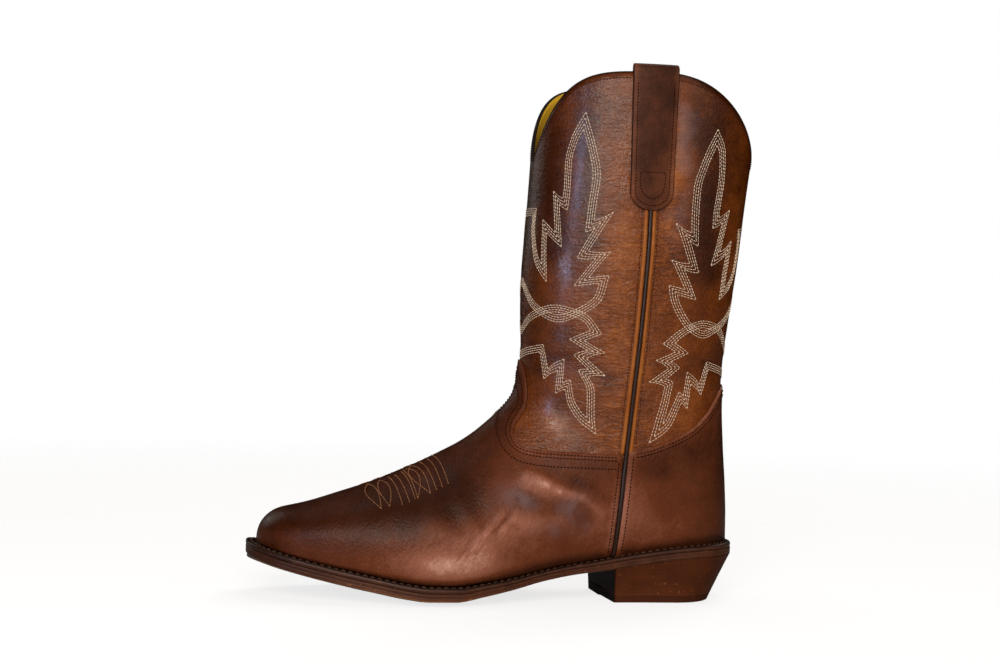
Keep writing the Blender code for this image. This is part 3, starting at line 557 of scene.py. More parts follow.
# %% [markdown]
# ## Building a finish
# A finish is a small tree of shader nodes. One function adds a node with its settings and its links, and
# one turns a colour as painters write it, sRGB hex, into the linear numbers that the renderer adds up.

# %% Node and colour helpers
def linear(colour):
    """sRGB hex to linear RGBA: below 0.04045 divide by 12.92, above it the 2.4 power."""
    parts = np.array([int(colour[i : i + 2], 16) / 255 for i in (1, 3, 5)])
    parts = np.where(parts <= 0.04045, parts / 12.92, ((parts + 0.055) / 1.055) ** 2.4)
    return (*parts.tolist(), 1.0)


def add(tree, kind, inputs=None, stops=(), **settings):
    """Adds a node: settings are its own properties, inputs gives a socket a value or another node's output.

    A colour ramp also takes its stops, each a place and a hex colour.
    """
    made = tree.nodes.new(kind)
    for name, value in settings.items():
        setattr(made, name, value)
    for socket, value in (inputs or {}).items():
        if isinstance(value, bpy.types.NodeSocket):
            tree.links.new(value, made.inputs[socket])
        else:
            made.inputs[socket].default_value = value
    for number, (place, colour) in enumerate(stops):
        elements = made.color_ramp.elements
        element = elements[number] if number < len(elements) else elements.new(place)
        element.position, element.color = place, linear(colour)
    return made


def per_mm(size):
    """The texture scale at which a pattern repeats about once in a size in millimetres."""
    return 1 / (size * MM)


def new_finish(name):
    """An empty material with its shader."""
    made = bpy.data.materials.new(name)
    made.use_nodes = True
    return made, made.node_tree, made.node_tree.nodes["Principled BSDF"]


print("mid grey #808080 is", round(linear("#808080")[0], 3), "in linear light")

# %% [markdown]
# ## Oiled leather
# The shaft, vamp and counter are full-grain cowhide, drum-dyed, then waxed and oiled. Wax makes the
# colour shift where the hide is stretched (paler, pinker) and where it is rubbed (darker), pores and fine
# cells break up the gloss, and the wax film gives a second, sharper shine. Four numbers are painted on
# each mesh: tone, which also carries painted highlights and painted shade, wrinkle, a grey veil (on the
# shaft a painted sheen) and film (how thick the shine lies). Noise at three sizes varies the tone, and a
# ramp turns it into colour.

# %% Oiled leather
WRINKLE_MM, GLOSS_MM, VEIL_MM = 3.4, 7.0, 15.0  # sizes of the wrinkles, the gloss and the ragged edge of the grey veil
CLOUDS = ((34.0, 0.55), (11.0, 0.24), (2.6, 0.08))  # sizes and strengths of the clouds in the dye
VEIL_GREY = "#6d5c5d"


def oiled_leather(name, stops, grain_mm, bump_mm, roughness, shine, coat, mottle=1.0, speckle=0.12, lie=0.0):
    """Cowhide: tone, clouds, grain and wrinkles to colour and bump, a thin wax film on top.

    Real pores lie a few tenths of a millimetre apart, too fine to show here, so grain_mm draws them coarser.
    Mottle and speckle scale the clouds and the cells in the colour, and lie turns the wrinkles, in degrees.
    """
    made, tree, shader = new_finish(name)
    place = add(tree, "ShaderNodeTexCoord").outputs["Object"]
    tone = add(tree, "ShaderNodeAttribute", attribute_name="tone").outputs["Fac"]
    wrinkle = add(tree, "ShaderNodeAttribute", attribute_name="wrinkle").outputs["Fac"]
    cells = add(
        tree, "ShaderNodeTexVoronoi", {"Vector": place, "Scale": per_mm(grain_mm), "Randomness": 1.0},
        feature="SMOOTH_F1",
    ).outputs["Distance"]
    pore_mm = grain_mm * 0.45
    pores = add(tree, "ShaderNodeTexNoise", {"Vector": place, "Scale": per_mm(pore_mm), "Detail": 3.0})
    turned = add(tree, "ShaderNodeMapping", {"Vector": place, "Rotation": (0.0, math.radians(lie), 0.0)})
    flat = add(tree, "ShaderNodeMapping", {"Vector": turned.outputs["Vector"], "Scale": (0.42, 0.42, 1.7)})
    ripple = add(
        tree, "ShaderNodeTexNoise",
        {
            "Vector": flat.outputs["Vector"], "Scale": per_mm(WRINKLE_MM),
            "Detail": 4.0, "Roughness": 0.55, "Distortion": 0.8,
        },
    ).outputs["Fac"]
    ripple = add(tree, "ShaderNodeMath", {0: ripple, 1: 0.5}, operation="SUBTRACT").outputs[0]
    ripple = add(tree, "ShaderNodeMath", {0: ripple, 1: wrinkle}, operation="MULTIPLY").outputs[0]
    grain = add(
        tree, "ShaderNodeMath", {0: pores.outputs["Fac"], 1: 0.7, 2: cells}, operation="MULTIPLY_ADD"
    ).outputs[0]
    grain = add(tree, "ShaderNodeMath", {0: ripple, 1: 7.0, 2: grain}, operation="MULTIPLY_ADD").outputs[0]
    layers = [(ripple, 0.0, 0.65), (cells, 0.32, speckle)]
    for size, strength in CLOUDS:
        cloud = add(
            tree, "ShaderNodeTexNoise",
            {"Vector": place, "Scale": per_mm(size), "Detail": 5.0, "Roughness": 0.6},
        )
        layers.append((cloud.outputs["Fac"], 0.5, strength * mottle))
    for value, mean, strength in layers:
        centred = add(tree, "ShaderNodeMath", {0: value, 1: mean}, operation="SUBTRACT").outputs[0]
        mixed = add(tree, "ShaderNodeMath", {0: centred, 1: strength, 2: tone}, operation="MULTIPLY_ADD")
        tone = mixed.outputs[0]
    ramp = add(tree, "ShaderNodeValToRGB", {"Fac": tone}, stops=stops)
    gloss = add(tree, "ShaderNodeTexNoise", {"Vector": place, "Scale": per_mm(GLOSS_MM), "Detail": 4.0})
    # the grey veil mixes the colour towards grey; on the shaft it is a painted sheen
    grey_veil = add(tree, "ShaderNodeAttribute", attribute_name="grey_veil").outputs["Fac"]
    ragged = add(tree, "ShaderNodeTexNoise", {"Vector": place, "Scale": per_mm(VEIL_MM), "Detail": 5.0})
    ragged = add(
        tree, "ShaderNodeMapRange",
        {"Value": ragged.outputs["Fac"], "From Min": 0.40, "From Max": 0.58, "To Min": 0.25, "To Max": 1.4},
    ).outputs["Result"]
    grey_veil = add(tree, "ShaderNodeMath", {0: grey_veil, 1: ragged}, operation="MULTIPLY").outputs[0]
    colour = add(
        tree, "ShaderNodeMix", {0: grey_veil, 6: ramp.outputs["Color"], 7: linear(VEIL_GREY)}, data_type="RGBA"
    )
    bump = add(tree, "ShaderNodeBump", {"Height": grain, "Strength": 0.85, "Distance": bump_mm * MM})
    rough = add(
        tree, "ShaderNodeMapRange",
        {
            "Value": gloss.outputs["Fac"], "From Min": 0.3, "From Max": 0.7,
            "To Min": roughness - 0.08, "To Max": roughness + 0.1,
        },
    )
    tree.links.new(colour.outputs[2], shader.inputs["Base Color"])
    tree.links.new(rough.outputs["Result"], shader.inputs["Roughness"])
    tree.links.new(bump.outputs["Normal"], shader.inputs["Normal"])
    film = add(tree, "ShaderNodeMath", {0: gloss.outputs["Fac"], 1: 1.6, 2: ripple}, operation="MULTIPLY_ADD")
    film = add(tree, "ShaderNodeBump", {"Height": film.outputs[0], "Strength": 0.6, "Distance": bump_mm * MM})
    tree.links.new(film.outputs["Normal"], shader.inputs["Coat Normal"])
    shader.inputs["Specular IOR Level"].default_value = shine
    thick = add(tree, "ShaderNodeAttribute", attribute_name="film").outputs["Fac"]
    thick = add(tree, "ShaderNodeMath", {0: thick, 1: coat}, operation="ADD").outputs[0]
    tree.links.new(thick, shader.inputs["Coat Weight"])
    shader.inputs["Coat Roughness"].default_value = 0.2
    return made


print("clouds in the dye:", [size for size, strength in CLOUDS], "mm")

# %% Leather finishes
# Cognac shaft leather: dark red-brown where rubbed, orange where the dye glows, rosy where stretched.
shaft_leather = oiled_leather(
    "oiled_cowhide_cognac",
    ((0.0, "#150601"), (0.28, "#3a1806"), (0.52, "#66320d"), (0.76, "#8f5120"), (1.0, "#b57843")),
    grain_mm=1.3, bump_mm=0.32, roughness=0.28, shine=0.22, coat=0.05, speckle=0.16,
)
# Vamp leather: a darker, redder hide, nearly black-brown over the ridge and pale where it is pulled over
# the ball.
vamp_leather = oiled_leather(
    "oiled_cowhide_red_brown",
    ((0.0, "#110501"), (0.28, "#331506"), (0.52, "#5a2d18"), (0.76, "#865441"), (1.0, "#c99e8b")),
    grain_mm=1.3, bump_mm=0.22, roughness=0.36, shine=0.09, coat=0.01, mottle=0.6, speckle=0.08, lie=52.0,
)
# Strap leather: the same hide with its flesh side waxed, so it is dull and nearly without grain.
strap_leather = oiled_leather(
    "waxed_cowhide_dark", ((0.0, "#0f0602"), (0.35, "#35190c"), (0.65, "#5a301c"), (1.0, "#865435")),
    grain_mm=1.0, bump_mm=0.12, roughness=0.5, shine=0.08, coat=0.02, mottle=1.4,
)
# Turned edge of the shaft leather beside the piping: a lighter orange tan, a painted highlight where the
# raised fold catches the light.
fold_leather = oiled_leather(
    "cowhide_fold_tan_highlight", ((0.0, "#351705"), (0.5, "#7f4313"), (1.0, "#b67a3c")),
    grain_mm=1.0, bump_mm=0.06, roughness=0.45, shine=0.12, coat=0.05, mottle=0.8,
)
# Lining: vegetable-tanned lining hide, dyed mustard, matt and soft.
lining_leather = oiled_leather(
    "lining_hide_mustard", ((0.0, "#6f5410"), (0.5, "#a8841c"), (1.0, "#c7a334")),
    grain_mm=0.9, bump_mm=0.05, roughness=0.65, shine=0.1, coat=0.0, mottle=0.5,
)
print("leather finishes:", [m.name for m in bpy.data.materials if "hide" in m.name])

# %% [markdown]
# ## Shaft and lining
# The shaft is one leather tube from the throat to the scalloped top, with a lining glued inside. Both are
# the master surface again, the lining moved in by the wall. The shaft also runs a little way under the
# vamp and counter, as the real one does, so no gap can show at their edges.

# %% Shaft
def sheet(rows, shares, lift=0.0):
    """A grid of points on the upper at every row and share, with its quads."""
    row, share = np.meshgrid(rows, shares, indexing="ij")
    return skin(row, share, np.full(row.shape, lift)), grid_faces(len(rows), len(shares))


def smoothstep(low, high, value):
    """A soft step from 0 to 1 between two values."""
    t = np.clip((value - low) / (high - low), 0, 1)
    return t * t * (3 - 2 * t)


def spots(x, z, table):
    """A sum of soft oval spots in the side view: x, z, half length, half height, strength."""
    return sum(s * np.exp(-(((x - cx) / rx) ** 2) - ((z - cz) / rz) ** 2) for cx, cz, rx, rz, s in table)


SHAFT_SPOTS = (  # orange beside the seam and dark in the leaves, with painted light and shade where marked
    (62.0, 160.0, 16.0, 60.0, 0.10),
    (60.0, 100.0, 34.0, 10.0, 0.06),
    (14.0, 108.0, 16.0, 10.0, 0.10),
    # painted shade down the front edge
    (8.0, 220.0, 16.0, 120.0, -0.14),
    (16.0, 266.0, 14.0, 40.0, -0.12),
    (37.0, 300.0, 7.0, 18.0, -0.12),
    (41.0, 250.0, 7.0, 42.0, -0.20),
    (26.0, 235.0, 10.0, 40.0, -0.08),
    # painted highlights on both sides of the piping below the strap, and right of the strap
    (60.0, 238.0, 9.0, 30.0, 0.13),
    (95.0, 274.0, 8.0, 38.0, 0.26),
    (88.0, 230.0, 9.0, 22.0, 0.08),
    (90.0, 180.0, 12.0, 80.0, 0.06),
    (116.0, 280.0, 22.0, 40.0, -0.20),
    (116.0, 225.0, 11.0, 40.0, -0.18),
    # a painted highlight down the back edge
    (140.0, 230.0, 10.0, 90.0, 0.08),
)
SHAFT_WRINKLES = (  # fine cross wrinkles gather beside the seam and at the ankle
    (64.0, 165.0, 22.0, 60.0, 0.55),
    (90.0, 224.0, 12.0, 42.0, 0.85),
    (70.0, 105.0, 50.0, 18.0, 0.35),
)
SHAFT_PAINTED_SHEEN = (  # a pale greyish veil behind the strap: a painted sheen of light on the leather
    (97.0, 285.0, 8.0, 36.0, 0.34),
    (93.0, 240.0, 7.0, 20.0, 0.22),
)
SHAFT_FILM = (  # the wax film is thick in patches along the front, where it was rubbed up to a shine
    (34.0, 262.0, 9.0, 32.0, 0.26),
    (27.0, 203.0, 7.0, 9.0, 0.50),
    (25.0, 160.0, 8.0, 18.0, 0.22),
    (18.0, 112.0, 9.0, 11.0, 0.60),
)
HIDE_THICKNESS, LINING_THICKNESS = 1.1, 0.8
UNDER_VAMP_ROW = 5  # the shaft's leather starts here, out of sight under the vamp
points, faces = sheet(ROWS[ROWS >= UNDER_VAMP_ROW], np.linspace(-1, 1, 181))
shaft = make_piece("shaft", points, faces, shaft_leather, "upper", ["upper"])
x, y, z = places(shaft)
top_edge = skin(np.full(161, float(LAST_ROW)), np.linspace(-1, 1, 161))
from_top = np.linalg.norm(np.stack([x, y, z], axis=1)[:, None] - top_edge[None], axis=2).min(axis=1)
# painted shade: darker within a few millimetres of the top line
rim = smoothstep(3.4, 1.6, from_top)
# crease ridges paler where the hide is stretched, troughs darker as painted shade
tone = 0.425 + spots(x, z, SHAFT_SPOTS) + 0.15 * crease_relief(x, z) - 0.14 * rim
# painted shade: near black below the overlays' edges, where the shaft lies under the vamp and counter
paint(shaft, "tone", tone * smoothstep(84, 90, z))
paint(shaft, "wrinkle", 0.22 + spots(x, z, SHAFT_WRINKLES))
# a painted sheen behind the strap, laid on as a grey veil
paint(shaft, "grey_veil", spots(x, z, SHAFT_PAINTED_SHEEN))
paint(shaft, "film", spots(x, z, SHAFT_FILM))
thicken(shaft, HIDE_THICKNESS)
print("shaft", len(shaft.data.polygons), "faces")

# %% Lining
shaft_rows = np.append(ROWS[ROWS >= HEEL_POINT_ROW][:-1:2], LAST_ROW)
points, faces = sheet(shaft_rows, np.linspace(-1, 1, 141), -WALL)
foot_points, foot_faces = sheet(np.linspace(0.35, HEEL_POINT_ROW, 70), np.linspace(-0.93, 0.93, 101), -WALL)
faces = np.concatenate([faces, foot_faces + points.shape[0] * points.shape[1]])
points = np.concatenate([points.reshape(-1, 3), foot_points.reshape(-1, 3)])
lining = make_piece("lining", points, faces[:, ::-1], lining_leather, "upper", ["upper"])
x, y, z = places(lining)
# darker towards the foot: painted shade deep inside the shaft
paint(lining, "tone", 0.25 + 0.35 * smoothstep(60, 300, z))
thicken(lining, LINING_THICKNESS)
print("lining", len(lining.data.polygons), "faces")

# %% [markdown]
# ## Vamp and counter
# Both are cut from the same hide and sewn over the shaft. A sheet just outside the master surface is cut
# along the overlay's outline in the side view: where a grid edge crosses the outline, its nearer end
# slides onto it, so the cut is clean without a boolean. Close to the cut the sheet rolls down to the
# shaft, like a skived edge.

# %% Cutting leather to an outline
PIPING_RADIUS = 1.5
SKIVE_DROP, SKIVE_WIDTH = 0.35, 2.4  # how far an overlay's edge is eased down, and how far in from the cut
FAR = 300.0  # well past the boot's ends


def inside_distance(x, z, outline):
    """Distance in the side view to a closed outline, positive inside it.

    A point is inside when a level line to its right crosses the outline an odd number of times.
    """
    a, b = outline, np.roll(outline, -1, axis=0)
    px, pz = x[..., None], z[..., None]
    run = b - a
    t = np.clip(((px - a[:, 0]) * run[:, 0] + (pz - a[:, 1]) * run[:, 1]) / (run**2).sum(axis=1), 0, 1)
    gap = np.hypot(px - a[:, 0] - t * run[:, 0], pz - a[:, 1] - t * run[:, 1]).min(axis=-1)
    rising = np.where(np.abs(run[:, 1]) < TINY, TINY, run[:, 1])
    crossing = ((a[:, 1] > pz) != (b[:, 1] > pz)) & (px < a[:, 0] + run[:, 0] * (pz - a[:, 1]) / rising)
    return np.where(crossing.sum(axis=-1) % 2 == 1, gap, -gap)


def cut_sheet(rows, shares, outline):
    """A sheet over the upper, cut to an outline: rows, shares, distances from the cut, and triangles."""
    row, share = np.meshgrid(rows, shares, indexing="ij")
    base = skin(row, share)
    depth = inside_distance(base[..., 0], base[..., 2], outline)
    best = np.full(depth.shape, 0.5)
    new_row, new_share = row.copy(), share.copy()
    for axis, shift in ((0, 1), (0, -1), (1, 1), (1, -1)):
        other = np.roll(depth, shift, axis)
        crosses = (depth > 0) != (other > 0)
        border = [slice(None), slice(None)]
        border[axis] = 0 if shift == 1 else -1
        crosses[tuple(border)] = False
        part = np.where(crosses, depth / np.where(crosses, depth - other, 1.0), 1.0)
        nearer = part <= best
        best = np.where(nearer, part, best)
        new_row = np.where(nearer, row + part * (np.roll(row, shift, axis) - row), new_row)
        new_share = np.where(nearer, share + part * (np.roll(share, shift, axis) - share), new_share)
    depth = np.where((new_row != row) | (new_share != share), 0.0, depth)
    a, b, c, d = grid_faces(*row.shape).T
    kept = depth.ravel() >= 0
    split_bd = ~kept[a] | ~kept[c]
    first = np.where(split_bd[:, None], np.stack([a, b, d], axis=1), np.stack([a, b, c], axis=1))
    second = np.where(split_bd[:, None], np.stack([b, c, d], axis=1), np.stack([a, c, d], axis=1))
    faces = np.concatenate([first, second])
    faces = faces[kept[faces].all(axis=1)]
    used, faces = np.unique(faces, return_inverse=True)
    return new_row.ravel()[used], new_share.ravel()[used], depth.ravel()[used], faces.reshape(-1, 3)


def overlay_lift(depth):
    """Height of an overlay above the shaft: its full thickness, eased down a little at the cut."""
    return GAP + OVERLAY - SKIVE_DROP * (1 - cap(depth, SKIVE_WIDTH))


def seam_side(offset, top_z):
    """The side seam's line moved along the boot by an offset, from a height down past the sole."""
    z = np.linspace(top_z, 20.0, 12)
    return np.column_stack([side_seam_x(z) + offset, z])


clear = PIPING_RADIUS + 0.1
vamp_line = curve_through(VAMP_TOP_LINE, 1.0)
vamp_line = vamp_line[vamp_line[:, 0] < side_seam_x(vamp_line[:, 1]) - clear]
counter_line = curve_through(COUNTER_TOP_LINE, 1.0)
counter_line = counter_line[counter_line[:, 0] > side_seam_x(counter_line[:, 1]) + clear]
VAMP_OUTLINE = np.concatenate([vamp_line, seam_side(-clear, 90.0), [(-FAR, -50.0), (-FAR, 153.0)]])
COUNTER_OUTLINE = np.concatenate([counter_line[::-1], seam_side(clear, 92.0), [(FAR, -50.0), (FAR, 138.0)]])
print("vamp edge", len(vamp_line), "points, counter edge", len(counter_line))

# %% Vamp
EDGE_HIGHLIGHT = 3.8  # a painted highlight lies about this far in from a cut edge, where the raised edge catches the light
VAMP_SPOTS = (  # pale where the hide is pulled over the ball and the instep fold, dark where it is burnished; painted light and shade at the fold where marked
    (-48.0, 27.0, 42.0, 12.0, 0.15),
    (-34.0, 22.0, 26.0, 9.0, 0.25),
    (-84.0, 23.0, 24.0, 7.0, 0.05),
    (-105.0, 36.0, 38.0, 18.0, -0.06),
    (-12.0, 46.0, 20.0, 13.0, 0.20),
    # the instep fold's ridge: paler stretched hide, and a painted highlight where the ridge catches the light
    (12.0, 72.0, 11.0, 6.0, 0.20),
    (32.0, 66.0, 16.0, 4.0, 0.10),
    (16.0, 50.0, 22.0, 5.0, 0.12),
    (20.0, 64.0, 44.0, 26.0, 0.10),
    (7.0, 62.0, 10.0, 5.0, -0.12),
    # painted shade in the hollow above the fold
    (42.0, 73.0, 14.0, 5.0, -0.08),
    (41.0, 52.0, 8.0, 9.0, -0.08),
    (52.0, 50.0, 12.0, 30.0, 0.06),
    (-2.0, 90.0, 16.0, 14.0, 0.13),
    (-142.0, 32.0, 12.0, 10.0, -0.08),
    (-56.0, 52.0, 26.0, 14.0, -0.15),
    (-22.0, 62.0, 18.0, 12.0, -0.10),
)
VAMP_GREY_VEILS = (  # pale greyish veils round the instep's fold
    (6.0, 63.0, 10.0, 6.0, 0.36),
    (41.0, 54.5, 6.5, 9.5, 0.46),
    (21.0, 46.0, 8.0, 5.0, 0.32),
    (31.0, 59.0, 8.0, 6.0, 0.18),
    (-2.0, 68.0, 7.0, 7.0, 0.14),
)
VAMP_WRINKLES = (  # fine wrinkles over the ball and at the instep
    (-16.0, 42.0, 20.0, 16.0, 0.25),
    (24.0, 66.0, 30.0, 14.0, 0.25),
    (-50.0, 34.0, 30.0, 14.0, 0.25),
)
rows = np.concatenate([
    np.linspace(0, 1, 22, endpoint=False) ** 2,
    np.linspace(1, 12, 100, endpoint=False),
    np.linspace(12, 18, 50),
])
row, share, depth, faces = cut_sheet(rows, np.linspace(-0.99, 0.99, 181), VAMP_OUTLINE)
points = skin(row, share, overlay_lift(depth))
vamp = make_piece("vamp_leather", points, faces, vamp_leather, "vamp", ["vamp"])
x, y, z = places(vamp)
foot = slice(0, HEEL_POINT_ROW + 1)
ridge_z = smooth_line(SECTIONS["front_x"][foot], SECTIONS["front_z"][foot], x)
height = (z - feather_z(x)) / np.maximum(ridge_z - feather_z(x), 8.0)  # 0 at the feather, 1 on the ridge
# darker over the ridge, and painted shade along the feather, where the vamp meets the welt
tone = 0.44 - 0.19 * smoothstep(0.30, 0.90, height) - 0.32 * smoothstep(0.08, 0.0, height)
# crease ridges paler where the hide is stretched, troughs darker as painted shade; a painted highlight along
# the cut edge
tone += 0.16 * crease_relief(x, z) + 0.18 * bell(inside_distance(x, z, VAMP_OUTLINE), EDGE_HIGHLIGHT)
paint(vamp, "tone", tone + spots(x, z, VAMP_SPOTS))
paint(vamp, "wrinkle", 0.10 + spots(x, z, VAMP_WRINKLES))
paint(vamp, "grey_veil", spots(x, z, VAMP_GREY_VEILS))
thicken(vamp, HIDE_THICKNESS)
print("vamp", len(vamp.data.polygons), "faces")

# %% Counter
COUNTER_SPOTS = (  # paler towards the seam, darker over the top, and painted shade round the back
    (76.0, 58.0, 14.0, 20.0, 0.13),
    (90.0, 40.0, 12.0, 8.0, 0.05),
    (88.0, 80.0, 12.0, 8.0, -0.06),
    (118.0, 62.0, 14.0, 12.0, -0.05),
    (100.0, 45.0, 26.0, 10.0, 0.06),
    (108.0, 96.0, 40.0, 18.0, -0.12),
    # painted shade round the back
    (142.0, 80.0, 12.0, 60.0, -0.16),
)
rows = np.linspace(8, 18, 121)
row, share, depth, faces = cut_sheet(rows, np.linspace(-1, 1, 241), COUNTER_OUTLINE)
points = skin(row, share, overlay_lift(depth))
counter = make_piece("counter_leather", points, faces, vamp_leather, "counter", ["counter"])
x, y, z = places(counter)
# painted shade along the feather: darker in the lowest 8 mm
tone = 0.47 - 0.28 * smoothstep(8.0, 0.0, z - feather_z(np.minimum(x, SOLE_HEEL_X)))
# a painted highlight along the counter's cut edge
tone += 0.18 * bell(inside_distance(x, z, COUNTER_OUTLINE), EDGE_HIGHLIGHT)
paint(counter, "tone", tone + spots(x, z, COUNTER_SPOTS))
paint(counter, "wrinkle", 0.15 + 0.25 * smoothstep(80, 105, z))
thicken(counter, HIDE_THICKNESS)
print("counter", len(counter.data.polygons), "faces")

# %% [markdown]
# ## Piping, folds and binding
# A round bead of dark leather fills each side seam, and the shaft's edges are turned beside it, so two
# tan folds stand up along it. The top line is bound with a thin black strip. All are a profile carried
# along a line on the surface.

# %% Beads along lines
def unit(vectors):
    """Vectors scaled to length 1."""
    return vectors / np.maximum(np.linalg.norm(vectors, axis=-1, keepdims=True), TINY)


def tube_faces(rings, sides):
    """Quads round a tube of rings, and one face over each of its two ends."""
    ends = [list(range(sides)), list(range((rings - 1) * sides, rings * sides))]
    return grid_faces(rings, sides, ring=True).tolist() + ends


def bead(line, normal, half_across, half_high, sides=12, ring=False):
    """An oval carried along a line: centre + across * cos + normal * sin, where across = normal x ahead."""
    if ring:
        ahead, behind = np.roll(line, -1, axis=0), np.roll(line, 1, axis=0)
    else:
        ahead, behind = np.concatenate([line[1:], line[-1:]]), np.concatenate([line[:1], line[:-1]])
    across = unit(np.cross(normal, unit(ahead - behind)))[:, None]
    turn = np.linspace(0, 2 * math.pi, sides, endpoint=False)[None, :, None]
    points = line[:, None] + across * half_across * np.cos(turn) + normal[:, None] * half_high * np.sin(turn)
    if ring:
        points = np.concatenate([points, points[:1]])
        return points.reshape(-1, 3), grid_faces(len(points), sides, ring=True).tolist()
    return points.reshape(-1, 3), tube_faces(len(points), sides)


def joined(parts):
    """Several meshes as one: points end to end, and faces counted on."""
    points, faces, count = [], [], 0
    for part_points, part_faces in parts:
        points.append(part_points)
        faces += [[k + count for k in face] for face in part_faces]
        count += len(part_points)
    return np.concatenate(points), faces


def on_side_line(x, z, side, lift):
    """A line in the side view laid on the boot: its points, lifted off the surface, and their normals."""
    row, share = find_on_side(x, z, side)
    return skin(row, share, np.broadcast_to(lift, row.shape)), skin_normal(row, share)


print("a tube of 5 rings of 12 points has", len(tube_faces(5, 12)), "faces")

# %% Piping and folds
STRAP_FOOT_Z = 239.0  # the piping and its folds end here, under the strap
PIPING_LIFT, PIPING_HALF_WIDTH, PIPING_HALF_HEIGHT = 0.75, 1.25, 1.35
FOLD_OFFSET, FOLD_LIFT, FOLD_HALF_WIDTH, FOLD_HALF_HEIGHT, FOLD_LOW_Z = 2.55, 0.15, 1.25, 0.95, 91.0
# Piping leather: thin dyed strip rolled over a cord, smooth and nearly black.
piping_leather = oiled_leather(
    "piping_leather_black_brown", ((0.0, "#0d0502"), (0.5, "#241106"), (1.0, "#44260f")),
    grain_mm=0.7, bump_mm=0.05, roughness=0.4, shine=0.2, coat=0.25, mottle=0.6,
)
# Binding leather: black calf strip, skived thin.
binding_leather = oiled_leather(
    "binding_calf_black", ((0.0, "#0b0908"), (0.5, "#17110e"), (1.0, "#2c211b")),
    grain_mm=0.7, bump_mm=0.05, roughness=0.6, shine=0.06, coat=0.0, mottle=0.6,
)
for label, side in SIDES:
    z = np.linspace(float(feather_z(65.0)) + 0.4, STRAP_FOOT_Z + 1.0, 170)
    line, normal = on_side_line(side_seam_x(z), z, side, PIPING_LIFT)
    points, faces = bead(line, normal, PIPING_HALF_WIDTH, PIPING_HALF_HEIGHT)
    nodes = ["side_piping_" + label]
    piping = make_piece("piping_" + label, points, faces, piping_leather, "piping", nodes, closed=True)
    paint(piping, "tone", 0.45)
    folds = []
    for offset in (-FOLD_OFFSET, FOLD_OFFSET):
        z = np.linspace(FOLD_LOW_Z, STRAP_FOOT_Z + 2.0, 120)
        line, normal = on_side_line(side_seam_x(z) + offset, z, side, FOLD_LIFT)
        folds.append(bead(line, normal, FOLD_HALF_WIDTH, FOLD_HALF_HEIGHT, sides=10))
    fold = make_piece("seam_folds_" + label, *joined(folds), fold_leather, "upper", closed=True)
    paint(fold, "tone", 0.55)
print("piping", len(piping.data.polygons), "faces, folds", len(fold.data.polygons), "on each side")

# %% Top line binding
shares = np.linspace(-1, 1, 321)[:-1]
edge, below = (skin(np.full(len(shares), row), shares) for row in (float(LAST_ROW), LAST_ROW - 0.1))
along = unit(np.roll(edge, -1, axis=0) - np.roll(edge, 1, axis=0))
rise = edge - below
rise = unit(rise - along * np.sum(rise * along, axis=1, keepdims=True))
outward = np.cross(rise, along)
points, faces = bead(edge - outward * WALL / 2 + rise * 0.25, outward, 0.6, WALL / 2 + 0.10, ring=True)
binding = make_piece(
    "top_line_binding", points, faces, binding_leather, "binding", ["top_binding"], closed=True
)
paint(binding, "tone", 0.4)
print("binding", len(binding.data.polygons), "faces")

# %% [markdown]
# ## Pull straps
# A strap of dark leather loops over the top line at each side and is sewn down outside and inside. Its
# middle surface is a grid (along its run, across its width) that follows the wall, and its two faces part
# from it by half its thickness, drawn together in a quarter circle at the edges.

# %% Pull straps
STRAP_WIDTH, STRAP_TAPER, STRAP_THICKNESS, STRAP_GAP = 28.2, 1.0, 2.2, 0.35
STRAP_INNER_FOOT_Z, STRAP_TOP_Z, STRAP_LOOP_Z, STRAP_ROUND = 248.0, 316.0, 323.9, 11.0
STRAP_EDGE_ROUND = 0.9


def strap_half(z):
    """Half width of a strap at a height, drawn in slightly towards its lower end."""
    return STRAP_WIDTH / 2 - STRAP_TAPER * (STRAP_TOP_Z - z) / (STRAP_TOP_Z - STRAP_FOOT_Z)


